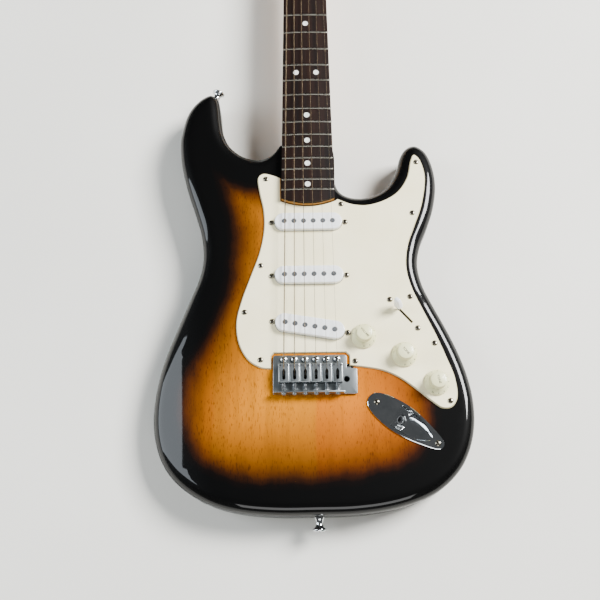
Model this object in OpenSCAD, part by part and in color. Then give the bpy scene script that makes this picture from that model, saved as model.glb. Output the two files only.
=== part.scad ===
// Solid-body electric guitar with a double cutaway, three single-coil pickups and a rocking tremolo bridge.
// Frame: X across the strings (+X is the treble side), Y along the neck towards the headstock, Z out of
// the front.
// Y = 0 is the line of the saddles, X = 0 the centre of the strings, Z = 0 the outer face of the back
// cover.

/* [Scale and neck] */
// Distance from the nut to the saddles
scale_length = 648; // [645:0.5:650]
// Width of the neck at the nut
nut_width = 42; // [40:0.5:44]
// Width of the neck at the last fret
heel_width = 55.4; // [54:0.2:56]
// Number of frets
fret_count = 21; // [19:1:21]
// Radius of the fretboard's curved top
board_radius = 241.3; // [200:1:400]

/* [Body] */
// Thickness of the wooden body
body_thickness = 44; // [42:0.5:46]
// Radius that the body's edges are rounded to
edge_radius = 7; // [5:0.5:7]
// Thickness of the pickguard
guard_thickness = 2.3; // [1.6:0.1:2.6]
// Thickness of the cover on the back
cover_thickness = 2; // [1.5:0.1:2.4]

/* [Hardware] */
// Distance between neighbouring strings at the saddles
string_pitch = 10.5; // [10.2:0.05:10.8]
// Distance between neighbouring pole magnets
pole_pitch = 10; // [9.6:0.1:10.4]
// Gap between the tremolo plate and the body
float_gap = 1.6; // [1.4:0.1:2]

/* [Hidden] */
$fn = 48;

// Heights, from the back cover's outer face
body_z0 = cover_thickness;
body_z1 = body_z0 + body_thickness;
guard_z1 = body_z1 + guard_thickness;
pocket_z = body_z1 - 16;
board_thickness = 4.8;
board_z1 = pocket_z + 25.5;
board_z0 = board_z1 - board_thickness;
head_z1 = board_z1 - 10.5;
head_thickness = 14;
head_z0 = head_z1 - head_thickness;
side_z = body_z0 + body_thickness / 2;
eps = 0.01;

// Outlines, going round anticlockwise as seen from the front
body_knots = [
    [6, -140], [38, -139.5], [70, -136], [98, -129], [122, -118], [142, -100], [154, -79], [160, -55],
        [160.5, -30],
    [156.5, -6], [149, 18], [138.5, 43], [127, 67], [117, 90], [113, 112], [116.5, 133], [125.5, 155],
        [133, 177],
    [137, 201], [135.5, 223], [129, 241.5], [118, 250.5], [107.5, 248], [100.5, 238], [94.5, 219], [84,
        201.5],
    [68, 191.5], [51, 189.5], [37, 194.5], [30, 206], [29.5, 225], [29, 246], [24, 259], [10, 264], [-10,
        264],
    [-24, 260], [-30, 249], [-38, 239.5], [-52, 236], [-69, 240.5], [-83, 252], [-90.5, 267], [-93.5, 283],
    [-95.3, 301], [-98, 311.5], [-105.5, 316.8], [-115.5, 312.5], [-125, 303], [-132, 290], [-136.5, 272],
    [-138, 256], [-135.5, 231], [-129, 203], [-120, 175], [-112.5, 149], [-110, 125], [-113.5, 102],
        [-123, 78],
    [-134.5, 50], [-145.5, 22], [-153, -4], [-157, -32], [-156, -58], [-149.5, -82], [-137, -102], [-118,
        -118],
    [-94, -130], [-66, -137], [-32, -140]];
guard_right_knots = [[38.5, 3.5], [55, 1.5], [72, -2], [88, -9.5], [104, -21.5], [117, -32.5], [128,
    -40], [138, -38.5],
    [143.5, -28], [142, -9], [136, 9], [126.5, 34], [115, 60], [104.5, 85], [100, 107], [102.5, 130],
        [110, 151],
    [118, 172], [123, 193], [124.5, 212], [120.5, 229], [114, 235.5], [110, 228], [105.5, 209], [95.5, 193],
    [81, 183], [63, 177.5], [47, 178.5], [34, 183.5], [28.6, 186.5]];
guard_left_knots = [[-28.6, 209.5], [-37, 213], [-47, 215], [-53, 209], [-51, 192], [-47, 172], [-46.5,
    150], [-51, 125],
    [-60, 99], [-69, 73], [-74, 50], [-71.5, 28], [-62.5, 11], [-50, 2.5], [-38.8, 1]];
head_knots = [[21, 652], [22.5, 672], [25.5, 712], [28.5, 760], [31, 798], [28.5, 820], [18, 832], [5, 827],
    [-5, 803], [-16, 758], [-27, 716], [-33.5, 690], [-31, 674], [-23.5, 662], [-21, 652]];
jack_knots = [[-9.3, 0], [-6.5, 7], [2, 11.5], [15, 14.2], [30, 15], [45, 13.2], [59, 10], [70, 6.8],
    [75.5, 3.6],
    [76.8, 0], [75.5, -3.6], [70, -6.8], [59, -10], [45, -13.2], [30, -15], [15, -14.2], [2, -11.5],
        [-6.5, -7]];

// Screw and part positions on the front
guard_screws = [[-44.5, 208], [-49.5, 110], [-65.7, 60], [-49.5, 10.3], [34.5, 178], [116, 226], [109, 167],
    [102, 74.6], [124, 25.4], [136, -33], [44.3, 8]];
pickup_y = [157.5, 98.5, 43.5];
pickup_angle = [0, 0, -9.5];
pickup_top = [53.5, 54, 54.5];
pickup_size = [70, 18.5];
pickup_screw_x = 38.3;
knob_xy = [[53.7, 33.2], [93.3, 13.9], [123.7, -15]];
switch_xy = [94.7, 56.5];
switch_angle = -48.7;
switch_pivot_z = body_z1 - 21;
switch_tilt = 16;
jack_xy = [64.2, -33.2];
jack_angle = -35.7;
jack_screw_gap = 70.4;
jack_elevation = 50;
jack_mouth = [27.5, -6.6];
// Half of the jack dish's opening, along the plate and across it
dish_half = [[21, 11.3], [34, 11.8], [46, 10.3], [56, 7], [62, 3.4]];
end_button = [6.5, -140.3];
horn_button = [-103, 316.1];
horn_button_angle = -20;

// Bridge
pivot_y = 10;
plate_z0 = body_z1 + float_gap;
plate_z1 = plate_z0 + 2;
hole_y = -8.5;
block_x = [-32, 40];
block_y = [-12.5, 2.5];
block_z0 = plate_z0 - 38;
arm_xy = [35.4, -10.2];
arm_r = 2.6;
saddle_y = [-14.9, 4];
saddle_z1 = plate_z1 + 9;
cover_y = [-31, 118];
cover_half = 47.5;
cover_screw_y = [-26, 45, 112];
spring_x = [-21, 0, 21];
spring_axis_z = 8.6;
claw_y = 96;
cavity_y1 = 112;

// Neck plate
plate_y = 224;
neck_screw_xy = [19, 25.5];

// Strings from the low one to the high one
string_d = [1.07, 0.81, 0.61, 0.41, 0.28, 0.23];
nut_pitch = 7;
saddle_string_z = board_z1 + 4.5;
nut_string_z = board_z1 + 1.7;
post_1 = [-20.4, 686];
post_6 = [11.9, 809];
post_r = 3;
post_step = (post_6 - post_1) / 5;
edge_angle = atan2(post_step.x, post_step.y);
key_offset = 6.9;
key_z = head_z0 - 6.5;
wind_z = head_z1 + 8.5;
tree_y = [706, 724];
tree_x = [13.1, -0.9];

// ---------- curves ----------
function catmull(a, b, c, d, t) =
    0.5 * (2 * b + (c - a) * t + (2 * a - 5 * b + 4 * c - d) * t * t + (3 * b - a - 3 * c + d) * t * t * t);
function closed_curve(k, n) = let (m = len(k))
    [for (i = [0:m - 1]) for (j = [0:n - 1]) catmull(k[(i + m - 1) % m], k[i], k[(i + 1) % m],
        k[(i + 2) % m], j / n)];
function open_curve(k, n) = let (m = len(k))
    [for (i = [0:m - 2]) for (j = [0:(i == m - 2 ? n : n - 1)])
        catmull(k[max(i - 1, 0)], k[i], k[i + 1], k[min(i + 2, m - 1)], j / n)];
function unit(v) = v / norm(v);
function left_of(a, b) = let (t = unit(b - a)) [-t.y, t.x];
function inset(p, d) = let (m = len(p)) [for (i = [0:m - 1])
    let (a = left_of(p[(i + m - 1) % m], p[i]), b = left_of(p[i], p[(i + 1) % m]))
        p[i] + d * (a + b) / (1 + a * b)];
function board_half(y) = (nut_width + (heel_width - nut_width) * (scale_length - y) / (scale_length - 193)) / 2;
function fret_y(n) = scale_length * pow(2, -n / 12);
function crown_drop(x) = board_radius - sqrt(board_radius * board_radius - x * x);
function string_x(i) = (i - 2.5) * string_pitch;
function nut_x(i) = (i - 2.5) * nut_pitch;
function post_xy(i) = post_1 + i * post_step;

// A solid through a stack of closed rings with the same number of points
module loft(rings) {
    n = len(rings[0]);
    m = len(rings);
    sides = [for (k = [0:m - 2]) for (i = [0:n - 1]) let (j = (i + 1) % n)
        [k * n + i, (k + 1) * n + i, (k + 1) * n + j, k * n + j]];
    caps = [[for (i = [0:n - 1]) i], [for (i = [n - 1:-1:0]) (m - 1) * n + i]];
    polyhedron(points = [for (r = rings) for (p = r) p], faces = concat(sides, caps));
}

// A tube of radius r along a path, with a fixed up vector to set its rings square
module tube(path, r, sides = 8) {
    m = len(path);
    function along(i) = unit(path[min(i + 1, m - 1)] - path[max(i - 1, 0)]);
    loft([for (i = [0:m - 1]) let (t = along(i), ref = abs(t.z) > 0.9 ? [0, 1, 0] : [0, 0, 1],
        a = unit(cross(ref, t)), b = cross(t, a))
        [for (k = [0:sides - 1]) path[i] + r * (cos(360 * k / sides) * a + sin(360 * k / sides) * b)]]);
}

module rounded_bar(size, r) {
    square([size.x - 2 * r, size.y], center = true);
    square([size.x, size.y - 2 * r], center = true);
    for (x = [-1, 1], y = [-1, 1]) translate([x * (size.x / 2 - r), y * (size.y / 2 - r)]) circle(r);
}

module stadium(length, width) {
    square([length - width, width], center = true);
    for (s = [-1, 1]) translate([s * (length - width) / 2, 0]) circle(width / 2);
}

module hole(x, y, z0, z1, r) {
    translate([x, y, z0]) cylinder(r = r, h = z1 - z0);
}

// A cross-head screw pointing down, with the underside of its head at z = 0
module screw(r, length, head_r, head_h) {
    difference() {
        union() {
            translate([0, 0, -length]) cylinder(r = r, h = length + eps);
            cylinder(r1 = head_r, r2 = head_r * 0.72, h = head_h);
        }
        for (a = [0, 90]) rotate(a) translate([-head_r * 0.5, -head_r * 0.11, head_h * 0.35])
            cube([head_r, head_r * 0.22, head_h]);
    }
}

module in_pickup(i) {
    translate([0, pickup_y[i], 0]) rotate(pickup_angle[i]) children();
}

module in_switch() {
    translate([switch_xy.x, switch_xy.y, 0]) rotate(switch_angle) children();
}

module in_jack() {
    translate([jack_xy.x, jack_xy.y, 0]) rotate(jack_angle) children();
}

// The jack's own axis: +Z leaves through its mouth
module on_jack_axis() {
    in_jack() translate([jack_mouth.x, 0, body_z1 + jack_mouth.y]) rotate([0, 90 - jack_elevation, 0])
        children();
}

module at_tuner(i) {
    translate([post_xy(i).x, post_xy(i).y, head_z0]) rotate(180 - edge_angle) children();
}

module at_horn_button() {
    translate([horn_button.x, horn_button.y, side_z]) rotate([0, 0, horn_button_angle]) rotate([-90, 0,
        0]) children();
}

module at_end_button() {
    translate([end_button.x, end_button.y, side_z]) rotate([90, 0, 0]) children();
}

// ---------- body ----------
// The edges are rounded over a quarter circle in three steps
function body_ring(outline, a, z) = [for (p = inset(outline, edge_radius * (1 - sin(a)))) [p.x, p.y, z]];

module body_blank() {
    outline = closed_curve(body_knots, 3);
    low = [for (a = [0:30:90]) body_ring(outline, a, body_z0 + edge_radius * (1 - cos(a)))];
    high = [for (a = [90:-30:0]) body_ring(outline, a, body_z1 - edge_radius * (1 - cos(a)))];
    loft(concat(low, high));
}

module heel_plan(grow, y1) {
    polygon(concat([for (a = [-1:0.25:1]) [a * (27.9 + grow), 177.8 - grow + 6 * a * a]],
        [[board_half(y1) + grow, y1], [-board_half(y1) - grow, y1]]));
}

module neck_pocket() {
    translate([0, 0, pocket_z]) linear_extrude(30) {
        heel_plan(0.15, 300);
        polygon([[20, 206], [40, 206], [40, 290], [20, 290]]);
        polygon([[-20, 249], [-40, 249], [-40, 290], [-20, 290]]);
    }
}

module pickup_routes() {
    translate([0, 0, body_z1 - 20]) linear_extrude(30) {
        for (i = [0:2]) in_pickup(i) square([88, 23], center = true);
        translate([28, 40]) square([10, 118]);
    }
}

module control_route() {
    translate([0, 0, body_z0 + 8]) linear_extrude(50) {
        hull() {
            translate(knob_xy[0]) circle(13.5);
            translate(knob_xy[1]) circle(13.5);
        }
        hull() {
            translate(knob_xy[1]) circle(13.5);
            translate(knob_xy[2]) circle(13.5);
        }
        hull() {
            translate(knob_xy[1]) circle(12);
            translate(knob_xy[0] + [10, 8]) circle(10);
            translate(switch_xy) circle(14);
        }
        translate(switch_xy) rotate(switch_angle) square([54, 18], center = true);
    }
}

module tremolo_route() {
    translate([-34.5, -18.5, -1]) cube([77, 24.5, 60]);
    translate([-38, -23, -1]) cube([81, 31.5, body_z0 + 21]);
    translate([-36, 5, -1]) cube([72, cavity_y1 - 5, body_z0 + 18]);
}

module dish_plan(grow) {
    polygon(concat([for (p = dish_half) [p.x + (p.x < 30 ? -grow : grow), p.y + grow]],
        [for (k = [4:-1:0]) [dish_half[k].x + (k == 0 ? -grow : grow), -dish_half[k].y - grow]]));
}

module jack_route() {
    in_jack() {
        translate([0, 0, body_z1 - 15]) linear_extrude(30) dish_plan(1.6);
        translate([0, 0, body_z1 - 32]) linear_extrude(40) hull() {
            translate([8, 0]) circle(8.6);
            translate([31, 0]) circle(9);
        }
    }
    translate([80, -44, body_z1 - 26]) rotate([0, 81, 81]) cylinder(r = 4, h = 48);
}

module screw_pilots() {
    for (p = guard_screws) hole(p.x, p.y, body_z1 - 12, body_z1 + 1, 1.3);
    for (y = cover_screw_y, s = [-1, 1]) hole(s * 42.5, y, -1, body_z0 + 12, 1.3);
    for (x = [-1, 1], y = [-1, 1])
        hole(x * neck_screw_xy.x, plate_y + y * neck_screw_xy.y, -1, pocket_z + 1, 2.35);
    for (i = [0:5]) hole(string_x(i), pivot_y, body_z1 - 26, body_z1 + 1, 1.6);
    in_jack() for (u = [0, jack_screw_gap]) hole(u, 0, body_z1 - 14, body_z1 + 1, 1.3);
    at_horn_button() translate([0, 0, -20]) cylinder(r = 1.75, h = 30);
    at_end_button() translate([0, 0, -26]) cylinder(r = 1.75, h = 30);
    for (x = [-16, 16]) translate([x, cavity_y1 - 1, spring_axis_z]) rotate([-90, 0, 0])
        cylinder(r = 1.6, h = 31);
}

// The bevel that the forearm rests on and the hollow at the back of the waist
module contours() {
    translate([-104, -20, body_z1]) rotate([0, 0, 4]) rotate([0, -14, 0])
        translate([-120, -140, 0]) cube([120, 300, 60]);
    translate([-112, 0, body_z0 + 13]) rotate([0, 12, 0]) rotate([90, 0, 90]) linear_extrude(400,
        center = true)
        polygon([[20, -60], [20, -13], [90, 0], [158, 0], [224, -13], [224, -60]]);
}

module body() {
    $fn = 24;
    color("#b8711c") resize([0, 0, body_thickness]) difference() {
        body_blank();
        neck_pocket();
        pickup_routes();
        control_route();
        tremolo_route();
        jack_route();
        screw_pilots();
        contours();
    }
}

// ---------- pickguard ----------
module guard_plan() {
    notch = [[-38.8, 14], [-36.3, 17], [35.5, 17], [38.5, 14]];
    heel = [for (a = [1:-0.25:-1]) [a * 28.5, 176.9 + 6 * a * a]];
    polygon(concat(open_curve(guard_right_knots, 4), heel, open_curve(guard_left_knots, 4), notch));
}

module pickguard() {
    color("#f3ecd4") translate([0, 0, body_z1]) difference() {
        linear_extrude(guard_thickness) difference() {
            guard_plan();
            for (i = [0:2]) in_pickup(i) stadium(pickup_size.x + 0.8, pickup_size.y + 0.8);
            in_switch() square([25, 2.4], center = true);
        }
        for (p = guard_screws) hole(p.x, p.y, -1, 5, 1.55);
        for (i = [0:2]) in_pickup(i) for (s = [-1, 1]) hole(s * pickup_screw_x, 0, -1, 5, 1.55);
        for (k = knob_xy) hole(k.x, k.y, -1, 5, 3.55);
        in_switch() for (s = [-1, 1]) hole(s * 20.3, 0, -1, 5, 1.55);
    }
}

module pickguard_screws() {
    color("#c9c6bd") for (p = guard_screws) translate([p.x, p.y, guard_z1 + 0.02]) screw(1.25, 12, 2.9,
        1.3);
}

// ---------- neck ----------
// Half of the neck's cross-section below the fretboard, swept from the nut towards the heel
function neck_ring(y, half, top, depth, square_by) = [for (k = [0:16]) let (a = -180 * k / 16,
    c = cos(a), s = sin(a))
    [half * sign(c) * pow(abs(c), 1 / square_by), y, top + depth * sign(s) * pow(abs(s), 1 / square_by)]];

module neck_shaft() {
    depth = board_z0 - head_z0;
    loft([for (s = [[258, 20.4, 4], [266, 20, 3], [276, 18.7, 1.7], [300, 17.9, 1.15], [400, 17.4, 1.1],
        [520, 16.7, 1.1], [628, 16.2, 1.1], [650, 16.2, 1.15], [654, 16.6, 1.3]])
        neck_ring(s[0], board_half(s[0]) - 0.02, board_z0, s[1], s[2])]);
    loft([for (s = [[653.9, 0, 16.6, 1.3], [658, 2.3, 17.4, 1.7], [664, 4.4, 18.6, 2.5], [672, 5.6,
        depth - 0.1, 5]])
        neck_ring(s[0], 21, board_z0 - s[1], s[2] - s[1], s[3])]);
}

module neck() {
    color("#d9a868") difference() {
        union() {
            translate([0, 0, pocket_z + 0.05]) linear_extrude(board_z0 - pocket_z - 0.05) heel_plan(-0.1,
                260);
            neck_shaft();
            translate([0, 0, head_z0]) linear_extrude(head_thickness) polygon(open_curve(head_knots, 4));
        }
        translate([0, 192, 42]) rotate([-90, 0, 0]) cylinder(r = 3.1, h = 490);
        for (x = [-1, 1], y = [-1, 1])
            hole(x * neck_screw_xy.x, plate_y + y * neck_screw_xy.y, pocket_z - 1, pocket_z + 17, 1.75);
        for (i = [0:5]) {
            hole(post_xy(i).x, post_xy(i).y, head_z0 - 1, head_z1 + 1, 4.6);
            at_tuner(i) hole(-11.5, 0, -1, 9, 1.05);
        }
        for (k = [0:1]) hole(tree_x[k], tree_y[k], head_z1 - 9, head_z1 + 1, 1.25);
    }
}

module board_plan() {
    polygon(concat([for (a = [-1:0.25:1]) [a * 27.9, 177.8 + 6 * a * a]],
        [[board_half(scale_length), scale_length], [-board_half(scale_length), scale_length]]));
}

// The inlays: fret number, and how far each is to the side
dots = [[3, 0], [5, 0], [7, 0], [9, 0], [12, -11], [12, 11], [15, 0], [17, 0], [19, 0], [21, 0]];
function dot_y(n) = (fret_y(n) + fret_y(n - 1)) / 2;

module fretboard() {
    color("#3a2418") difference() {
        intersection() {
            translate([0, 0, board_z0]) linear_extrude(board_thickness + 1) board_plan();
            translate([0, 100, board_z1 - board_radius]) rotate([-90, 0, 0])
                cylinder(r = board_radius, h = 600, $fn = 720);
        }
        for (n = [1:fret_count]) translate([-40, fret_y(n) - 0.3, board_z1 - 3.6]) cube([80, 0.6, 5]);
        for (d = dots) if (d[0] <= fret_count) hole(d[1], dot_y(d[0]), board_z1 - 2, board_z1 + 1, 3.02);
    }
}

module fret(n) {
    half = board_half(fret_y(n)) - 0.3;
    sweep = 2 * asin(half / board_radius);
    crown = concat([[0, -1.1]], [for (a = [-75:25:75]) [1.1 * cos(a), 1.1 * sin(a)]], [[0, 1.1]]);
    translate([0, fret_y(n), board_z1 - board_radius]) rotate([90, 0, 0]) rotate(90 - sweep / 2)
        rotate_extrude(angle = sweep, $fn = 720) translate([board_radius + 0.02, 0])
            polygon(concat([for (p = crown) p], [[0, 0.25], [-1.6, 0.25], [-1.6, -0.25], [0, -0.25]]));
}

module frets() {
    color("#c8c8c2") for (n = [1:fret_count]) fret(n);
}

module nut() {
    color("#efe9d6") difference() {
        translate([-nut_width / 2, scale_length + 0.02, board_z0 + 0.02]) cube([nut_width, 3.2,
            board_thickness + 1.9]);
        for (i = [0:5]) translate([nut_x(i), scale_length - 1, nut_string_z - crown_drop(nut_x(i))])
            rotate([-90, 0, 0]) cylinder(r = string_d[i] / 2 + 0.06, h = 6);
        for (i = [0:5])
            translate([nut_x(i) - string_d[i] / 2 - 0.06, scale_length - 1,
                nut_string_z - crown_drop(nut_x(i))])
                cube([string_d[i] + 0.12, 6, 4]);
    }
}

module position_dots() {
    color("#f4f2ea") for (d = dots) if (d[0] <= fret_count)
        hole(d[1], dot_y(d[0]), board_z1 - 1.98, board_z1 - 0.02 - crown_drop(abs(d[1]) + 1.5), 3);
}

module truss_rod() {
    color("#6f6f72") {
        translate([0, 193, 42]) rotate([-90, 0, 0]) cylinder(r = 3, h = 464);
        translate([0, 657.2, 42]) rotate([-90, 0, 0]) difference() {
            cylinder(r = 2.9, h = 9);
            translate([0, 0, 3]) cylinder(r = 2, h = 9, $fn = 6);
        }
    }
}

module neck_plate() {
    color("#c4c6c8") translate([0, plate_y, 0.5]) linear_extrude(1.48) difference() {
        rounded_bar([51, 64], 4);
        for (x = [-1, 1], y = [-1, 1]) translate([x * neck_screw_xy.x, y * neck_screw_xy.y]) circle(2.4);
    }
}

module neck_screws() {
    color("#c4c6c8") for (x = [-1, 1], y = [-1, 1])
        translate([x * neck_screw_xy.x, plate_y + y * neck_screw_xy.y, 0.48]) difference() {
            union() {
                cylinder(r = 1.7, h = 45);
                cylinder(r = 2.3, h = 28);
                translate([0, 0, -0.48]) cylinder(r1 = 3.6, r2 = 4.4, h = 0.48);
            }
            for (a = [45, 135]) rotate(a) translate([-2, -0.4, -1]) cube([4, 0.8, 2.2]);
        }
}

// ---------- headstock ----------
module string_trees() {
    color("#c4c6c8") for (k = [0:1]) translate([tree_x[k], tree_y[k], head_z1 + 0.02]) difference() {
        union() {
            cylinder(r = 2.6, h = 6.2);
            translate([-6.2, -2.6, 5.2]) cube([12.4, 5.2, 1.4]);
        }
        translate([0, 0, -1]) cylinder(r = 1.3, h = 12);
    }
}

module headstock_screws() {
    color("#c4c6c8") {
        for (k = [0:1]) translate([tree_x[k], tree_y[k], head_z1 + 6.65]) screw(1.2, 15, 2.3, 1.2);
        for (i = [0:5]) at_tuner(i) translate([-11.5, 0, -1.63]) rotate([180, 0, 0]) screw(1, 9, 1.9, 1.1);
    }
}

// Local axes at a tuner: +X runs out to the key, z = 0 is the back of the headstock
module tuner_housings() {
    color("#c9cbcd") for (i = [0:5]) at_tuner(i) difference() {
        union() {
            translate([-7.2, -10.8, -13]) cube([18.2, 18, 12.95]);
            translate([-13.6, -2.6, -1.6]) cube([8, 5.2, 1.55]);
        }
        translate([0, 0, -11]) cylinder(r = 5.4, h = 9);
        translate([0, 0, -3]) cylinder(r = 3.06, h = 5);
        translate([-6, -key_offset, key_z - head_z0]) rotate([0, 90, 0]) cylinder(r = 2.7, h = 15.6);
        translate([8, -key_offset, key_z - head_z0]) rotate([0, 90, 0]) cylinder(r = 1.96, h = 6);
        translate([-11.5, 0, -3]) cylinder(r = 1.1, h = 6);
    }
}

module tuner_bushings() {
    color("#c9cbcd") for (i = [0:5]) translate([post_xy(i).x, post_xy(i).y, 0]) difference() {
        union() {
            hole(0, 0, head_z0 + 1, head_z1 + 0.03, 4.5);
            translate([0, 0, head_z1 + 0.02]) cylinder(r = 7, h = 1);
            translate([0, 0, head_z1 + 1]) cylinder(r = 5.4, h = 2, $fn = 6);
        }
        hole(0, 0, head_z0, head_z1 + 5, 3.06);
    }
}

module tuner_post(i) {
    color("#d2d3d4") translate([post_xy(i).x, post_xy(i).y, 0]) difference() {
        union() {
            hole(0, 0, head_z0 - 10.6, head_z1 + 5, post_r);
            hole(0, 0, head_z1 + 5, head_z1 + 13, post_r - 0.5);
            hole(0, 0, head_z1 + 13, head_z1 + 16, post_r);
            hole(0, 0, head_z0 - 9, head_z0 - 4, 4.5);
        }
        translate([-6, 0, head_z1 + 11.4]) rotate([0, 90, 0]) cylinder(r = 0.9, h = 12);
    }
}

module tuner_key(i) {
    color("#cfd0d1") at_tuner(i) translate([0, -key_offset, key_z - head_z0]) {
        translate([-5, 0, 0]) rotate([0, 90, 0]) cylinder(r = 1.9, h = 22);
        translate([-4, 0, 0]) rotate([0, 90, 0]) cylinder(r = 2.2, h = 11);
        translate([15.5, 0, 0]) rotate([0, 90, 0]) cylinder(r1 = 2.6, r2 = 3.4, h = 3);
        translate([25, 0, -3.2]) linear_extrude(6.4) hull() for (s = [-1, 1]) translate([0, s * 1.8])
            circle(7.2);
    }
}

// ---------- tremolo bridge ----------
module bridge_plate() {
    color("#c6cacc") difference() {
        union() {
            translate([0, 0, plate_z0]) linear_extrude(2) {
                translate([-0.6, -5.3]) rounded_bar([72.8, 39.2], 3);
                translate([30, -24.9]) square([15.8, 25.6]);
                translate([-37, -24.9]) square([70, 8]);
            }
            translate([-36, -24.9, plate_z0]) cube([69, 1.8, 9.5]);
        }
        for (i = [0:5]) {
            hole(string_x(i), pivot_y, plate_z0 - 1, plate_z1 + 1, 2.5);
            translate([string_x(i) - 1.6, hole_y - 3, plate_z0 - 1]) cube([3.2, 6, 4]);
            translate([string_x(i), -26, plate_z1 + 4]) rotate([-90, 0, 0]) cylinder(r = 1.65, h = 4);
        }
        for (x = [-25, 0, 25]) hole(x + 5.25, -0.5, plate_z0 - 1, plate_z1 + 1, 1.9);
        hole(arm_xy.x, arm_xy.y, plate_z0 - 1, plate_z1 + 1, 3.1);
    }
}

module sustain_block() {
    color("#8f9296") difference() {
        translate([block_x[0], block_y[0], block_z0])
            cube([block_x[1] - block_x[0], block_y[1] - block_y[0], plate_z0 - block_z0 - 0.02]);
        for (i = [0:5]) {
            hole(string_x(i), hole_y, block_z0 - 1, block_z0 + 13, 3.4);
            hole(string_x(i), hole_y, block_z0 + 12, plate_z0 + 1, 1.6);
        }
        for (x = [-25, 0, 25]) hole(x + 5.25, -0.5, plate_z0 - 14, plate_z0 + 1, 1.65);
        hole(arm_xy.x, arm_xy.y, plate_z0 - 24, plate_z0 + 1, arm_r);
        for (x = spring_x) hole(x, 0.5, block_z0 - 1, block_z0 + 6, 1.1);
    }
}

module block_screws() {
    color("#9a9c9e") for (x = [-25, 0, 25]) translate([x + 5.25, -0.5, plate_z0]) {
        translate([0, 0, -12]) cylinder(r = 1.6, h = 12.1);
        cylinder(r = 1.85, h = 2);
    }
}

module saddle(i) {
    x = string_x(i);
    difference() {
        translate([x - 5.1, saddle_y[0], plate_z1 + 1.2])
            cube([10.2, saddle_y[1] - saddle_y[0], saddle_z1 - plate_z1 - 1.2]);
        translate([x - 3.6, saddle_y[0] + 2, plate_z1]) cube([7.2, 8.6, 4.6]);
        translate([x - 1.5, saddle_y[0] + 3.6, plate_z1]) cube([3, 10.6, 12]);
        translate([x, saddle_y[0] + 3.6, plate_z1]) cylinder(r = 1.5, h = 12);
        translate([x - string_d[i] / 2 - 0.25, -1, saddle_z1 - 1.6]) cube([string_d[i] + 0.5, 6, 4]);
        for (s = [-1, 1]) hole(x + s * 3.5, 1.9, plate_z1, saddle_z1 + 1, 1.15);
        translate([x, saddle_y[0] - 1, plate_z1 + 4]) rotate([-90, 0, 0]) cylinder(r = 1.5, h = 4);
    }
}

module saddles() {
    color("#c9ccce") for (i = [0:5]) saddle(i);
}

module saddle_height_screws() {
    color("#8b8d90") for (i = [0:5], s = [-1, 1]) translate([string_x(i) + s * 3.5, 1.9, plate_z1 + 0.03])
        difference() {
            cylinder(r = 1.1, h = 10 - crown_drop(string_x(i)));
            translate([0, 0, 8 - crown_drop(string_x(i))]) cylinder(r = 0.65, h = 4, $fn = 6);
        }
}

module intonation_screws() {
    color("#c9ccce") for (i = [0:5]) translate([string_x(i), -24.95, plate_z1 + 4]) rotate([90, 0, 0]) {
        translate([0, 0, -12.6]) cylinder(r = 1.4, h = 12.65);
        cylinder(r1 = 2.6, r2 = 1.9, h = 1.8);
    }
}

module intonation_springs() {
    color("#b4b6b8") for (i = [0:5], k = [0:5]) translate([string_x(i), -22.4 + k * 1.35, plate_z1 + 4])
        rotate([90, 0, 0]) rotate_extrude() translate([2.15, 0]) circle(0.35);
}

module pivot_screws() {
    color("#d3d4d2") for (i = [0:5]) translate([string_x(i), pivot_y, plate_z1 + 1]) screw(1.55, 27, 3.4,
        2);
}

// A plain sleeve stands for each coil, with the hooks at its ends
module tremolo_springs() {
    color("#a9abad") for (x = spring_x) {
        translate([x, 8, spring_axis_z]) rotate([-90, 0, 0]) difference() {
            cylinder(r = 3.8, h = 72);
            translate([0, 0, 1.2]) cylinder(r = 2.8, h = 69.6);
        }
        translate([x, 0.5, block_z0 - 1.4]) rotate([-90, 0, 0]) cylinder(r = 0.7, h = 7.6);
        hole(x, 0.5, block_z0 - 1.4, block_z0 + 5, 0.7);
        translate([x, 80, spring_axis_z]) rotate([-90, 0, 0]) cylinder(r = 0.7, h = claw_y - 81);
    }
}

module spring_claw() {
    color("#b9bbbd") difference() {
        union() {
            translate([-26, claw_y, 5]) cube([52, 1.6, 10]);
            for (x = spring_x) translate([x - 1.4, claw_y - 4, 11.2]) cube([2.8, 4.1, 1.5]);
        }
        for (x = [-16, 16]) translate([x, claw_y - 1, spring_axis_z]) rotate([-90, 0, 0])
            cylinder(r = 1.7, h = 4);
    }
}

module claw_screws() {
    color("#b9bbbd") for (x = [-16, 16]) translate([x, claw_y - 0.03, spring_axis_z]) rotate([90, 0, 0])
        screw(1.55, 45, 3.2, 2.4);
}

module back_cover() {
    color("#f1ead6") difference() {
        translate([0, (cover_y[0] + cover_y[1]) / 2, 0]) linear_extrude(cover_thickness - 0.02)
            rounded_bar([2 * cover_half, cover_y[1] - cover_y[0]], 9);
        for (i = [0:5]) hole(string_x(i), hole_y, -1, 5, 4);
        for (y = cover_screw_y, s = [-1, 1]) {
            hole(s * 42.5, y, -1, 5, 1.45);
            translate([s * 42.5, y, -0.01]) cylinder(r1 = 2.75, r2 = 1.45, h = 1.3);
        }
    }
}

module back_cover_screws() {
    color("#c4c6c8") for (y = cover_screw_y, s = [-1, 1]) translate([s * 42.5, y, 0.1]) difference() {
        union() {
            cylinder(r = 1.25, h = 13);
            cylinder(r1 = 2.55, r2 = 1.25, h = 1.3);
        }
        for (a = [20, 110]) rotate(a) translate([-1.3, -0.25, -1]) cube([2.6, 0.5, 1.6]);
    }
}

// ---------- pickups ----------
module pole_row(r, z0, z1) {
    for (k = [0:5]) hole((k - 2.5) * pole_pitch, 0, z0, z1, r);
}

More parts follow.
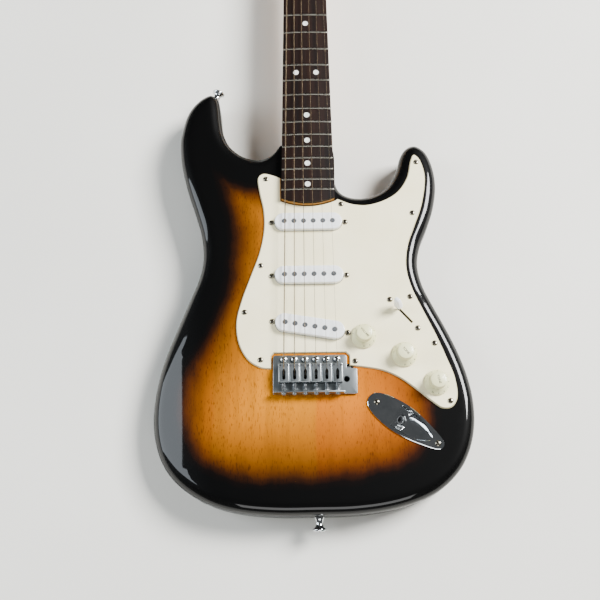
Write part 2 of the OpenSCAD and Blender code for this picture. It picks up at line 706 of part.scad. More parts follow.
module pickup_cover(i) {
    z0 = pickup_top[i] - 14;
    in_pickup(i) difference() {
        translate([0, 0, z0]) linear_extrude(14) stadium(pickup_size.x, pickup_size.y);
        translate([0, 0, z0 - 1]) linear_extrude(13.6) stadium(pickup_size.x - 2.6, pickup_size.y - 2.6);
        pole_row(2.65, z0, z0 + 20);
    }
}

module pickup_covers() {
    color("#f5f5f3") for (i = [0:2]) pickup_cover(i);
}

module pickup_bobbin(i) {
    z0 = pickup_top[i] - 15.6;
    in_pickup(i) difference() {
        union() {
            translate([0, 0, z0]) linear_extrude(1.5) {
                stadium(pickup_size.x, pickup_size.y);
                stadium(86, 9);
            }
            translate([0, 0, pickup_top[i] - 3]) linear_extrude(1.4) stadium(pickup_size.x - 4,
                pickup_size.y - 4);
            translate([0, 0, z0 + 1]) linear_extrude(12.5) stadium(57, 6.6);
        }
        pole_row(2.5, z0 - 1, z0 + 20);
        for (s = [-1, 1]) hole(s * pickup_screw_x, 0, z0 - 1, z0 + 3, 1.35);
    }
}

module pickup_bobbins() {
    color("#2b2b2d") for (i = [0:2]) pickup_bobbin(i);
}

module pickup_coils() {
    color("#7a3a1e") for (i = [0:2]) in_pickup(i) translate([0, 0, pickup_top[i] - 14.05])
        linear_extrude(11) difference() {
            stadium(65, 14.2);
            stadium(57.1, 6.7);
        }
}

module pole_magnets() {
    color("#8d8e8b") for (i = [0:2]) in_pickup(i) pole_row(2.45, pickup_top[i] - 16.4, pickup_top[i] + 0.7);
}

module pickup_screws() {
    color("#b9b8b0") for (i = [0:2]) in_pickup(i) for (s = [-1, 1])
        translate([s * pickup_screw_x, 0, guard_z1 + 0.02]) screw(1.3, 18, 2.9, 1.6);
}

module pickup_springs() {
    color("#b9b8b0") for (i = [0:2]) in_pickup(i) for (s = [-1, 1])
        difference() {
            hole(s * pickup_screw_x, 0, pickup_top[i] - 14.05, body_z1 - 0.03, 2.4);
            hole(s * pickup_screw_x, 0, pickup_top[i] - 15, body_z1 + 1, 1.45);
        }
}

// ---------- controls ----------
module potentiometers() {
    color("#aeb0b2") for (k = knob_xy) translate([k.x, k.y, 0]) difference() {
        union() {
            hole(0, 0, body_z1 - 10, body_z1 - 0.9, 8.2);
            hole(0, 0, body_z1 - 1, guard_z1 + 1.1, 3.5);
            translate([-5, -11.5, body_z1 - 8]) cube([10, 5, 1.2]);
        }
        hole(0, 0, body_z1 - 9, guard_z1 + 5, 3.06);
    }
    color("#c9ccce") for (k = knob_xy) translate([k.x, k.y, guard_z1 + 0.02]) difference() {
        cylinder(r = 5.5, h = 0.9, $fn = 6);
        translate([0, 0, -1]) cylinder(r = 3.55, h = 4);
    }
}

knob_z0 = guard_z1 + 1.3;

module control_knob(k) {
    translate([knob_xy[k].x, knob_xy[k].y, 0]) {
        color("#e9e7c6") difference() {
            union() {
                translate([0, 0, knob_z0]) cylinder(r = 12.5, h = 1.2);
                translate([0, 0, knob_z0 + 1.2]) cylinder(r1 = 12.5, r2 = 10.2, h = 4.6);
                translate([0, 0, knob_z0 + 5.7]) cylinder(r1 = 8.2, r2 = 7.7, h = 8.8);
            }
            hole(0, 0, knob_z0 - 1, knob_z0 + 10.5, 3);
            translate([0, 0, knob_z0 - 1]) cylinder(r = 6.4, h = 2.2);
        }
        color("#b9a878") hole(0, 0, body_z1 - 8.5, knob_z0 + 10.5, 3);
    }
}

// The metal frame and its wafer under the pickguard
module switch_frame() {
    color("#a8aaac") in_switch() {
        difference() {
            translate([-25, -6, body_z1 - 1.3]) cube([50, 12, 1.25]);
            translate([-13.5, -1.5, body_z1 - 3]) cube([27, 3, 5]);
            for (s = [-1, 1]) hole(s * 20.3, 0, body_z1 - 3, body_z1 + 1, 1.4);
        }
        difference() {
            translate([-9, 2.4, switch_pivot_z - 7]) cube([18, 1.4, body_z1 - switch_pivot_z + 6.5]);
            translate([0, 0, switch_pivot_z]) rotate([-90, 0, 0]) cylinder(r = 1.55, h = 8);
        }
        translate([-14, 3.8, switch_pivot_z - 9]) cube([28, 2.2, 20]);
    }
}

module tilted_lever() {
    in_switch() translate([0, 0, switch_pivot_z]) rotate([0, -switch_tilt, 0]) children();
}

module switch_lever() {
    color("#b4b6b8") tilted_lever() {
        translate([-1.2, -0.6, 0]) cube([2.4, 1.2, 34.5]);
        rotate([-90, 0, 0]) translate([0, 0, -1]) cylinder(r = 4, h = 2);
        rotate([-90, 0, 0]) translate([0, 0, -1]) cylinder(r = 1.5, h = 4.7);
    }
}

module switch_tip() {
    color("#f2f3f5") tilted_lever() difference() {
        translate([0, 0, 31]) linear_extrude(13.7, scale = [0.62, 0.72], slices = 1) hull()
            for (x = [-1, 1], y = [-1, 1]) translate([x * 2.7, y * 1.4]) circle(1.6, $fn = 16);
        translate([-1.25, -0.65, 30]) cube([2.5, 1.3, 4.55]);
    }
}

module switch_screws() {
    color("#c9c6bd") in_switch() for (s = [-1, 1]) translate([s * 20.3, 0, guard_z1 + 0.02]) screw(1.35,
        9, 2.9, 1.3);
}

// ---------- output jack ----------
// The dish that the plug drops into: inner shape at grow = 0
module dish(grow, top) {
    hull() {
        translate([0, 0, body_z1]) linear_extrude(top - body_z1) dish_plan(grow);
        translate([33.5, 0, body_z1 - 9.5 - grow]) rotate([0, 20, 0]) cylinder(r = 5.5 + grow, h = 0.4,
            $fn = 32);
    }
}

module jack_plate() {
    color("#c3c7ca") difference() {
        in_jack() difference() {
            union() {
                translate([0, 0, body_z1 + 0.02]) linear_extrude(1.58) polygon(closed_curve(jack_knots, 3));
                dish(1.2, body_z1 + 1.6);
            }
            dish(0, body_z1 + 4);
            for (u = [0, jack_screw_gap]) hole(u, 0, body_z1 - 1, body_z1 + 4, 1.5);
        }
        on_jack_axis() translate([0, 0, -12]) cylinder(r = 4.9, h = 14);
    }
}

module jack_socket() {
    color("#b7b9bb") on_jack_axis() {
        difference() {
            union() {
                translate([0, 0, -10]) cylinder(r = 4.75, h = 11.5);
                translate([0, 0, -8.5]) cylinder(r = 7.6, h = 3.2);
                translate([-4.7, -2, -24]) cube([1, 4, 16]);
                translate([3.7, -2, -22]) cube([1, 4, 14]);
            }
            translate([0, 0, -10.5]) cylinder(r = 3.2, h = 13);
        }
    }
}

module jack_plate_screws() {
    color("#c9c6bd") in_jack() for (u = [0, jack_screw_gap]) translate([u, 0, body_z1 + 1.65])
        screw(1.25, 13, 2.9, 1.4);
}

// ---------- wiring ----------
// The leads inside: pickups to switch, switch to pots, pots to jack, and the spring claw's earth lead
module wiring() {
    z = body_z1 - 14;
    color("#d8d4c8") {
        tube([[31, 150, z], [33, 130, z - 2], [33, 100, z - 1], [33.5, 62, z - 2], [37, 45, z - 2], [44,
            38, z - 2],
            [54, 40, z - 3], [66, 43, z - 4], [82, 50, z - 5]], 0.9);
        tube([[86, 46, z - 6], [80, 36, z - 6], [66, 28, z - 2], [56, 26, z - 1]], 0.9);
        tube([[62, 24, z + 1], [74, 17, z - 1], [84, 8, z + 1]], 0.9);
        tube([[90, 9, z - 3], [87.8, 5, z - 4.5], [84.8, -14, z - 7.2], [81.6, -34, z - 10.4],
            [80.5, -40.8, z - 11.3]], 0.9);
    }
    color("#a8622c") hole(106, 4, body_z1 - 22, body_z1 - 18.5, 5);
}

// ---------- strap buttons ----------
module strap_button() {
    difference() {
        rotate_extrude() polygon([[1.75, 0], [5.2, 0], [5.3, 1.2], [3.8, 4.2], [3.8, 8.4], [6.6, 11], [7,
            12.2],
            [6.6, 13], [5, 13.5], [1.75, 13.5]]);
        translate([0, 0, 11.8]) cylinder(r1 = 1.75, r2 = 3.9, h = 1.75);
    }
    difference() {
        union() {
            translate([0, 0, -18]) cylinder(r = 1.65, h = 30);
            translate([0, 0, 11.85]) cylinder(r1 = 1.65, r2 = 3.75, h = 1.75);
        }
        for (a = [0, 90]) rotate(a) translate([-2, -0.35, 12.6]) cube([4, 0.7, 2]);
    }
}

module strap_buttons() {
    color("#cdd0d2") {
        at_end_button() translate([0, 0, 0.02]) strap_button();
        at_horn_button() translate([0, 0, 0.02]) strap_button();
    }
}

// ---------- strings ----------
function winding(i, turns) = let (r = post_r + string_d[i] / 2 + 0.06, n = 9)
    [for (k = [1:turns * n]) let (a = 360 * k / n)
        [post_xy(i).x + r * cos(a), post_xy(i).y + r * sin(a), wind_z - string_d[i] * 1.02 * k / n]];
// A string runs level under its tree, so it clears the wing
function over_tree(i) = i < 2 ? [] : let (t = i < 4 ? 1 : 0)
    [for (e = [-2.9, 2.9]) let (y = tree_y[t] + e, f = (y - scale_length) / (post_xy(i).y - scale_length))
        [nut_x(i) + (post_xy(i).x + post_r - nut_x(i)) * f, y, head_z1 + 5 - string_d[i] / 2]];
function string_path(i) = let (xb = string_x(i), xn = nut_x(i), zs = saddle_string_z - crown_drop(xb),
    zn = nut_string_z - crown_drop(xn), r = post_r + string_d[i] / 2 + 0.06)
    concat([[xb, hole_y, block_z0 + 10], [xb, hole_y, plate_z1 + 1], [xb, hole_y + 1, plate_z1 + 3.5],
        [xb, -0.9, zs - 0.35], [xb, 0.6, zs], [xn, scale_length, zn], [xn, scale_length + 3.2,
            zn - 0.1]], over_tree(i),
        [[post_xy(i).x + r, post_xy(i).y - 2, wind_z]], winding(i, 3));

module strings() {
    color("#cfc9bd") for (i = [0:5]) {
        tube(string_path(i), string_d[i] / 2);
        translate([0, 0, block_z0 + 6.2]) hole(string_x(i), hole_y, 0, 3.7, 2);
    }
}

body();
pickguard();
pickguard_screws();
neck();
fretboard();
frets();
nut();
position_dots();
truss_rod();
neck_plate();
neck_screws();
string_trees();
headstock_screws();
tuner_housings();
tuner_bushings();
tuner_post(0);  // tuner_post_1
tuner_post(1);  // tuner_post_2
tuner_post(2);  // tuner_post_3
tuner_post(3);  // tuner_post_4
tuner_post(4);  // tuner_post_5
tuner_post(5);  // tuner_post_6
tuner_key(0);  // tuner_key_1
tuner_key(1);  // tuner_key_2
tuner_key(2);  // tuner_key_3
tuner_key(3);  // tuner_key_4
tuner_key(4);  // tuner_key_5
tuner_key(5);  // tuner_key_6
bridge_plate();
sustain_block();
block_screws();
saddles();
saddle_height_screws();
intonation_screws();
intonation_springs();
pivot_screws();
tremolo_springs();
spring_claw();
claw_screws();
back_cover();
back_cover_screws();
pickup_covers();
pickup_bobbins();
pickup_coils();
pole_magnets();
pickup_screws();
pickup_springs();
potentiometers();
wiring();
control_knob(0);  // volume_knob
control_knob(1);  // neck_tone_knob
control_knob(2);  // middle_tone_knob
switch_frame();
switch_lever();
switch_tip();
switch_screws();
jack_plate();
jack_socket();
jack_plate_screws();
strap_buttons();
strings();
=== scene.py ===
"""The looks of the solid-body electric guitar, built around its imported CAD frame.

Shapes are worked out in millimetres, in the frame of the CAD part, and objects are made in metres.
+X is the treble side, +Y runs along the neck to the headstock, and +Z comes out of the front.
"""
import math

import bpy
import numpy as np
from mathutils import Matrix, Vector
from mathutils.geometry import delaunay_2d_cdt


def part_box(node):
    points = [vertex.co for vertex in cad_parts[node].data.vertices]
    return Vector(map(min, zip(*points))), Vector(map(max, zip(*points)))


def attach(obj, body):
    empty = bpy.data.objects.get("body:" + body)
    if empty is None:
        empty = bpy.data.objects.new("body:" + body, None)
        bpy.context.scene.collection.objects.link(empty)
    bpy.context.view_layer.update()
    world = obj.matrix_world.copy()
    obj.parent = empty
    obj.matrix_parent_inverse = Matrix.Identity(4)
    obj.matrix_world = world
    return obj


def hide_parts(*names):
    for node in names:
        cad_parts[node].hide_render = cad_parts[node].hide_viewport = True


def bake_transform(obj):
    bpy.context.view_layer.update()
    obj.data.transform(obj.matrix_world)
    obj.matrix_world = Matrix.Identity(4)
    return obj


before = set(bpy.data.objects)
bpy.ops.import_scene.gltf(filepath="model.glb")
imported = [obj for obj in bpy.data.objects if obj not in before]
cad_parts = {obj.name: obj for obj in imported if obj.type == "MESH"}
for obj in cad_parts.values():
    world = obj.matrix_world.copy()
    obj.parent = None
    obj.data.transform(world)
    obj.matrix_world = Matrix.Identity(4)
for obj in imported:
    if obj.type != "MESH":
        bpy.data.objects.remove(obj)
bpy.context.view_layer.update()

MM = 0.001


def span(node):
    """Lowest and highest corner of a CAD node, in millimetres."""
    low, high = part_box(node)
    return low / MM, high / MM


def middle(node):
    """Centre of a CAD node's box, in millimetres."""
    low, high = span(node)
    return tuple((low + high) / 2)


# ---------- dimensions ----------
BODY_Z0, BODY_Z1 = span("body")[0].z, span("body")[1].z
GUARD_Z1 = span("pickguard")[1].z
BOARD_Z0, BOARD_Z1 = span("fretboard")[0].z, span("fretboard")[1].z
HEAD_Z0, HEAD_Z1 = BOARD_Z1 - 24.5, BOARD_Z1 - 10.5
PLATE_Z0 = span("bridge_plate")[0].z
PLATE_Z1 = PLATE_Z0 + 2
BLOCK_Z0 = span("sustain_block")[0].z
SIDE_Z = (BODY_Z0 + BODY_Z1) / 2
SCALE = 648
NUT_WIDTH = 42
HEEL_WIDTH = 55.4
FRETS = 21
BOARD_RADIUS = 241.3
POCKET_Z = BODY_Z1 - 16
EDGE_RADIUS = 12

BODY_KNOTS = [
    (6, -140), (38, -139.5), (70, -136), (98, -129), (122, -118), (142, -100), (154, -79), (160, -55),
              (160.5, -30),
    (156.5, -6), (149, 18), (138.5, 43), (127, 67), (117, 90), (113, 112), (116.5, 133), (125.5, 155),
              (133, 177),
    (137, 201), (135.5, 223), (129, 241.5), (118, 250.5), (107.5, 248), (100.5, 238), (94.5, 219),
              (84, 201.5),
    (68, 191.5), (51, 189.5), (37, 194.5), (30, 206), (29.5, 225), (29, 246), (24, 259), (10, 264),
              (-10, 264),
    (-24, 260), (-30, 249), (-38, 239.5), (-52, 236), (-69, 240.5), (-83, 252), (-90.5, 267), (-93.5, 283),
    (-95.3, 301), (-98, 311.5), (-105.5, 316.8), (-115.5, 312.5), (-125, 303), (-132, 290), (-136.5, 272),
    (-138, 256), (-135.5, 231), (-129, 203), (-120, 175), (-112.5, 149), (-110, 125), (-113.5, 102),
              (-123, 78),
    (-134.5, 50), (-145.5, 22), (-153, -4), (-157, -32), (-156, -58), (-149.5, -82), (-137, -102),
              (-118, -118),
    (-94, -130), (-66, -137), (-32, -140)]
GUARD_RIGHT_KNOTS = [
    (38.5, 3.5), (55, 1.5), (72, -2), (88, -9.5), (104, -21.5), (117, -32.5), (128, -40), (138, -38.5),
    (143.5, -28), (142, -9), (136, 9), (126.5, 34), (115, 60), (104.5, 85), (100, 107), (102.5, 130),
                     (110, 151),
    (118, 172), (123, 193), (124.5, 212), (120.5, 229), (114, 235.5), (110, 228), (105.5, 209), (95.5, 193),
    (81, 183), (63, 177.5), (47, 178.5), (34, 183.5), (28.6, 186.5)]
GUARD_LEFT_KNOTS = [
    (-28.6, 209.5), (-37, 213), (-47, 215), (-53, 209), (-51, 192), (-47, 172), (-46.5, 150), (-51, 125),
    (-60, 99), (-69, 73), (-74, 50), (-71.5, 28), (-62.5, 11), (-50, 2.5), (-38.8, 1)]
HEAD_KNOTS = [
    (21, 652), (22.5, 672), (25.5, 712), (28.5, 760), (31, 798), (28.5, 820), (18, 832), (5, 827),
    (-5, 803), (-16, 758), (-27, 716), (-33.5, 690), (-31, 674), (-23.5, 662), (-21, 652)]
JACK_KNOTS = [
    (-9.3, 0), (-6.5, 7), (2, 11.5), (15, 14.2), (30, 15), (45, 13.2), (59, 10), (70, 6.8), (75.5, 3.6),
    (76.8, 0), (75.5, -3.6), (70, -6.8), (59, -10), (45, -13.2), (30, -15), (15, -14.2), (2, -11.5),
    (-6.5, -7)]
# Where the black rim of the sunburst is how wide
RIM_WIDTHS = [
    ((0, -140), 22), ((-110, -122), 22), ((-154, -20), 18), ((-130, 60), 29), ((-111, 120), 23),
              ((-122, 180), 27),
    ((-69, 240), 34), ((90, -132), 27), ((145, -100), 33), ((160, -50), 32), ((135, 200), 26)]

GUARD_SCREWS = [
    (-44.5, 208), (-49.5, 110), (-65.7, 60), (-49.5, 10.3), (34.5, 178), (116, 226), (109, 167),
    (102, 74.6), (124, 25.4), (136, -33), (44.3, 8)]
PICKUPS = [(157.5, 0, 53.5), (98.5, 0, 54), (43.5, -9.5, 54.5)]
PICKUP_LENGTH, PICKUP_WIDTH = 70, 18.5
PICKUP_SCREW_X = 38.3
POLE_PITCH = 10
KNOBS = [("volume_knob", "volume_control", "VOLUME", -50), ("neck_tone_knob", "neck_tone_control", "TONE",
                                                            -50),
         ("middle_tone_knob", "middle_tone_control", "TONE", -75)]
KNOB_Z0 = GUARD_Z1 + 1.3
SWITCH_XY, SWITCH_ANGLE, SWITCH_TILT, SWITCH_SCREW_X = (94.7, 56.5), -48.7, 16, 20.3
JACK_XY, JACK_ANGLE, JACK_SCREW_GAP, JACK_ELEVATION = (64.2, -33.2), -35.7, 70.4, 50
JACK_MOUTH = (27.5, -6.6)
END_BUTTON = (6.5, -140.3)
HORN_BUTTON = (-103, 316.1, -20)
STRING_PITCH = 10.5
NUT_PITCH = 7
PIVOT_Y = 10
HOLE_Y = -8.5
ARM_XY = (35.4, -10.2)
SADDLE_Y = (-14.9, 4)
SADDLE_Z1 = PLATE_Z1 + 9
COVER_HALF, COVER_Y = 47.5, (-31, 118)
COVER_SCREWS = [(s * 42.5, y) for y in (-26, 45, 112) for s in (-1, 1)]
SPRING_X, SPRING_Z, CLAW_Y = (-21, 0, 21), 8.6, 96
NECK_PLATE_Y = 224
NECK_SCREWS = [(x * 19, NECK_PLATE_Y + y * 25.5) for x in (-1, 1) for y in (-1, 1)]
STRING_D = [1.07, 0.81, 0.61, 0.41, 0.28, 0.23]
SADDLE_STRING_Z, NUT_STRING_Z = BOARD_Z1 + 4.5, BOARD_Z1 + 1.7
POST_1, POST_6, POST_R = (-20.4, 686), (11.9, 809), 3
KEY_OFFSET, EAR_SCREW_X = 6.9, -11.5
BLOCK_SCREW_XY = [(x + 5.25, -0.5) for x in (-25, 0, 25)]
KEY_Z = HEAD_Z0 - 6.5
WIND_Z = HEAD_Z1 + 8.5
TREES = [(13.1, 706), (-0.9, 724)]
DOTS = [(3, 0), (5, 0), (7, 0), (9, 0), (12, -11), (12, 11), (15, 0), (17, 0), (19, 0), (21, 0)]


def fret_y(n):
    return SCALE * 2 ** (-n / 12)


def board_half(y):
    return (NUT_WIDTH + (HEEL_WIDTH - NUT_WIDTH) * (SCALE - y) / (SCALE - 193)) / 2


def crown_drop(x):
    return BOARD_RADIUS - math.sqrt(BOARD_RADIUS ** 2 - x * x)


def string_x(i):
    return (i - 2.5) * STRING_PITCH


def nut_x(i):
    return (i - 2.5) * NUT_PITCH


def post_xy(i):
    return tuple(a + (b - a) * i / 5 for a, b in zip(POST_1, POST_6))


# ---------- local frames ----------
def shift(x, y, z=0):
    return Matrix.Translation((x, y, z))


def turn(degrees, axis="Z"):
    return Matrix.Rotation(math.radians(degrees), 4, axis)


def at_pickup(i):
    return shift(0, PICKUPS[i][0]) @ turn(PICKUPS[i][1])


def at_switch():
    return shift(*SWITCH_XY) @ turn(SWITCH_ANGLE)


def at_lever():
    return at_switch() @ shift(0, 0, BODY_Z1 - 21) @ turn(-SWITCH_TILT, "Y")


def at_jack():
    return shift(*JACK_XY) @ turn(JACK_ANGLE)


def on_jack_axis():
    return at_jack() @ shift(JACK_MOUTH[0], 0, BODY_Z1 + JACK_MOUTH[1]) @ turn(90 - JACK_ELEVATION, "Y")


def at_tuner(i):
    lean = math.degrees(math.atan2(POST_6[0] - POST_1[0], POST_6[1] - POST_1[1]))
    return shift(*post_xy(i), HEAD_Z0) @ turn(180 - lean)


def at_horn_button():
    return shift(*HORN_BUTTON[:2], SIDE_Z) @ turn(HORN_BUTTON[2]) @ turn(-90, "X")


def at_end_button():
    return shift(*END_BUTTON, SIDE_Z) @ turn(90, "X")


# ---------- shapes ----------
class Shape:
    """Points in millimetres and the faces between them."""

    def __init__(self, points, faces):
        self.points = np.array(points, float).reshape(-1, 3)
        self.faces = [tuple(int(i) for i in f) for f in faces]

    def moved(self, matrix):
        m = np.array(matrix)
        return Shape(self.points @ m[:3, :3].T + m[:3, 3], self.faces)


def joined(shapes):
    points, faces, start = [], [], 0
    for s in shapes:
        points.append(s.points)
        faces += [tuple(i + start for i in f) for f in s.faces]
        start += len(s.points)
    return Shape(np.concatenate(points), faces)


def repeated(shape, places):
    """A copy of the shape at each place, as one shape."""
    return joined([shape.moved(place) for place in places])


def curve(knots, steps, closed=False):
    """A Catmull-Rom curve through the knots, as an array of points."""
    k = np.array(knots, float)
    n = len(k)
    out = []
    for i in range(n if closed else n - 1):
        if closed:
            a, b, c, d = (k[(i + j) % n] for j in (-1, 0, 1, 2))
        else:
            a, b, c, d = (k[min(max(i + j, 0), n - 1)] for j in (-1, 0, 1, 2))
        for t in np.arange(steps) / steps:
            out.append(0.5 * (2 * b + (c - a) * t + (2 * a - 5 * b + 4 * c - d) * t ** 2
                              + (3 * b - a - 3 * c + d) * t ** 3))
    if not closed:
        out.append(k[-1])
    return np.array(out)


def loft(rings, caps=True):
    """A surface through rings of equally many points, anticlockwise from the side of the last one."""
    n, m = len(rings[0]), len(rings)
    faces = [(k * n + i, k * n + (i + 1) % n, (k + 1) * n + (i + 1) % n, (k + 1) * n + i)
             for k in range(m - 1) for i in range(n)]
    if caps:
        faces += [tuple(range(n))[::-1], tuple((m - 1) * n + i for i in range(n))]
    return Shape(np.concatenate([np.array(r, float) for r in rings]), faces)


def lathe(profile, steps=40, hollow=False, ribs=None):
    """A solid turned about Z. profile is (radius, height) upwards; hollow closes it round a bore.

    ribs is (first height, count, depth): above that height the radius goes in and out that often.
    """
    angle = np.arange(steps) * 2 * math.pi / steps
    points, rows = [], []
    for r, z in profile:
        if r < 1e-6:
            rows.append([len(points)])
            points.append((0, 0, z))
            continue
        reach = np.full(steps, float(r))
        if ribs and z >= ribs[0]:
            reach -= ribs[2] * (0.5 - 0.5 * np.cos(ribs[1] * angle)) ** 2
        rows.append(list(range(len(points), len(points) + steps)))
        points += [(reach[k] * math.cos(a), reach[k] * math.sin(a), z) for k, a in enumerate(angle)]
    faces = []
    pairs = list(zip(rows, rows[1:])) + ([(rows[-1], rows[0])] if hollow else [])
    for low, high in pairs:
        for k in range(steps):
            j = (k + 1) % steps
            corners = (low[k % len(low)], low[j % len(low)], high[j % len(high)], high[k % len(high)])
            faces.append(tuple(dict.fromkeys(corners)))
    if not hollow:
        if len(rows[0]) > 1:
            faces.append(tuple(rows[0][::-1]))
        if len(rows[-1]) > 1:
            faces.append(tuple(rows[-1]))
    return Shape(points, faces)


def tube(path, radius, sides=10):
    """A tube along a path of points; radius is one number or one for each point."""
    path = np.array(path, float)
    radius = np.broadcast_to(radius, len(path))
    along = np.gradient(path, axis=0)
    along /= np.linalg.norm(along, axis=1)[:, None]
    side = np.cross(along[0], (0, 0, 1) if abs(along[0][2]) < 0.9 else (0, 1, 0))
    rings = []
    for p, t, r in zip(path, along, radius):
        side = side - t * (side @ t)
        side /= np.linalg.norm(side)
        other = np.cross(t, side)
        a = np.arange(sides)[:, None] * 2 * math.pi / sides
        rings.append(p + r * (np.cos(a) * side + np.sin(a) * other))
    return loft(rings)


def helix(radius, z0, z1, turns, steps=16):
    """Points of a coil about Z."""
    t = np.linspace(0, 1, int(turns * steps) + 1)
    a = t * turns * 2 * math.pi
    return np.stack([radius * np.cos(a), radius * np.sin(a), z0 + (z1 - z0) * t], 1)


def hexagon(profile):
    """A six-sided solid; profile is (corner radius, height) upwards."""
    return loft([np.column_stack([circle(0, 0, r, 6), np.full(6, z)]) for r, z in profile])


def cuboid(x0, y0, z0, x1, y1, z1):
    ring = [(x0, y0), (x1, y0), (x1, y1), (x0, y1)]
    return loft([[(x, y, z) for x, y in ring] for z in (z0, z1)])


def rod(x, y, z0, z1, r, steps=24):
    return lathe([(r, z0), (r, z1)], steps).moved(shift(x, y))


def circle(x, y, r, steps=24):
    a = np.arange(steps) * 2 * math.pi / steps
    return np.stack([x + r * np.cos(a), y + r * np.sin(a)], 1)


def rounded(width, height, r, steps=6, x=0, y=0):
    """A rectangle with round corners, anticlockwise."""
    out = []
    for k, (cx, cy) in enumerate([(1, 1), (-1, 1), (-1, -1), (1, -1)]):
        for a in np.linspace(0, math.pi / 2, steps + 1) + k * math.pi / 2:
            out.append((x + cx * (width / 2 - r) + r * math.cos(a),
                        y + cy * (height / 2 - r) + r * math.sin(a)))
    return np.array(out)


def placed(loop, matrix):
    """A flat outline moved by a matrix."""
    m = np.array(matrix)
    return loop @ m[:2, :2].T + m[:2, 3]


def inset(loop, d):
    """A loop moved by d to its left, with mitred corners."""
    ahead = np.roll(loop, -1, 0) - loop
    ahead /= np.linalg.norm(ahead, axis=1)[:, None]
    left = np.stack([-ahead[:, 1], ahead[:, 0]], 1)
    before = np.roll(left, 1, 0)
    return loop + d * (left + before) / (1 + np.sum(left * before, 1))[:, None]


def rim(z0, z1, low=0.3, high=0.3, steps=4):
    """A wall's profile from z0 to z1 with rounded edges, as (inset, height)."""
    a = np.linspace(0, math.pi / 2, steps + 1)
    bottom = [(low * (1 - math.sin(t)), z0 + low * (1 - math.cos(t))) for t in a]
    top = [(high * (1 - math.cos(t)), z1 - high * (1 - math.sin(t))) for t in a]
    return bottom + top


def contains(loop, points):
    """Which points lie inside a closed outline."""
    a, b = loop, np.roll(loop, -1, 0)
    inside = np.zeros(len(points), bool)
    for (x0, y0), (x1, y1) in zip(a, b):
        crosses = (y0 > points[:, 1]) != (y1 > points[:, 1])
        if crosses.any():
            reach = x0 + (points[:, 1] - y0) * (x1 - x0) / (y1 - y0)
            inside ^= crosses & (points[:, 0] < reach)
    return inside


def fill(loops):
    """Triangles of the area that the loops enclose, as indices into all their points."""
    points = [Vector(p) for loop in loops for p in loop]
    edges, start = [], 0
    for loop in loops:
        edges += [(start + i, start + (i + 1) % len(loop)) for i in range(len(loop))]
        start += len(loop)
    flat, _, faces, origin, _, _ = delaunay_2d_cdt(points, edges, [], 0, 1e-7)
    flat = np.array([v[:] for v in flat])
    centres = np.array([flat[list(f)].mean(0) for f in faces])
    solid = np.zeros(len(faces), bool)
    for loop in loops:
        solid ^= contains(np.array(loop), centres)
    return [tuple(origin[i][0] for i in f) for f, kept in zip(faces, solid) if kept]


def levels(outline, profile):
    """The outline at each (inset, height) of a profile."""
    return [np.column_stack([inset(outline, d), np.full(len(outline), z)]) for d, z in profile]


def close(shape, loops, upwards):
    """Closes a flat face of a shape between loops, each a run of its point numbers."""
    ids = [k for loop in loops for k in loop]
    triangles = fill([shape.points[list(loop)][:, :2] for loop in loops])
    shape.faces += [tuple(ids[k] for k in f)[::1 if upwards else -1] for f in triangles]


def plate(outer, profile, holes=(), hole_profile=None):
    """A plate with a shaped rim, and holes through it, each an anticlockwise loop."""
    hole_profile = hole_profile or [(0, profile[0][1]), (0, profile[-1][1])]
    walls = [(np.array(outer), profile)] + [(np.array(h)[::-1], hole_profile) for h in holes]
    sides = [loft(levels(loop, steps), caps=False) for loop, steps in walls]
    low, high, start = [], [], 0
    for (loop, _), side in zip(walls, sides):
        n, end = len(loop), start + len(side.points)
        low.append(range(start, start + n))
        high.append(range(end - n, end))
        start = end
    whole = joined(sides)
    close(whole, low, False)
    close(whole, high, True)
    return whole


def temporary(shape):
    mesh = bpy.data.meshes.new("temporary")
    mesh.from_pydata(shape.points.tolist(), [], shape.faces)
    mesh.update()
    item = bpy.data.objects.new("temporary", mesh)
    bpy.context.scene.collection.objects.link(item)
    return item


def evaluated(item):
    """The shape of an object after its modifiers."""
    bpy.context.view_layer.update()
    done = item.evaluated_get(bpy.context.evaluated_depsgraph_get()).to_mesh()
    return Shape([v.co[:] for v in done.vertices], [p.vertices for p in done.polygons])


def combined(operation, shape, *tools):
    """A boolean of one shape with others, one after another."""
    base = temporary(shape)
    parts = [temporary(t) for t in tools]
    for part in parts:
        modifier = base.modifiers.new("boolean", "BOOLEAN")
        modifier.operation = operation
        modifier.object = part
        modifier.solver = "EXACT"
    result = evaluated(base)
    for item in [base, *parts]:
        bpy.data.meshes.remove(item.data)
    return result


def cut(shape, *tools):
    return combined("DIFFERENCE", shape, *tools)


def bevelled(shape, width, segments=2, angle=30):
    """The shape with its sharp edges rounded."""
    base = temporary(shape)
    modifier = base.modifiers.new("bevel", "BEVEL")
    modifier.width = width
    modifier.segments = segments
    modifier.angle_limit = math.radians(angle)
    result = evaluated(base)
    bpy.data.meshes.remove(base.data)
    return result


def crossed(shape, bar):
    """The shape with a cross recess as wide as the bar."""
    return cut(shape, bar, bar.moved(turn(90)))


def cross_screw(shaft, length, head, height, dome=0.85, slot=0.24):
    """A domed screw pointing down with a cross recess; the underside of its head is at z = 0."""
    low = height * (1 - dome)
    arc = [(head * math.cos(t), low + height * dome * math.sin(t)) for t in np.linspace(0, math.pi / 2, 8)]
    profile = [(0, -length), (shaft, -length + 2 * shaft), (shaft, 0), (head, 0)] + arc[:-1] + [(0, height)]
    solid = lathe(profile, 28)
    reach, half, floor = head * 0.62, head * slot / 2, height * 0.3
    bar = loft([[(x * reach * s, y * half * s, z) for x, y in ((-1, -1), (1, -1), (1, 1), (-1, 1))]
                for z, s in ((floor, 0.45), (height + 0.2, 1.1))])
    return crossed(solid, bar)


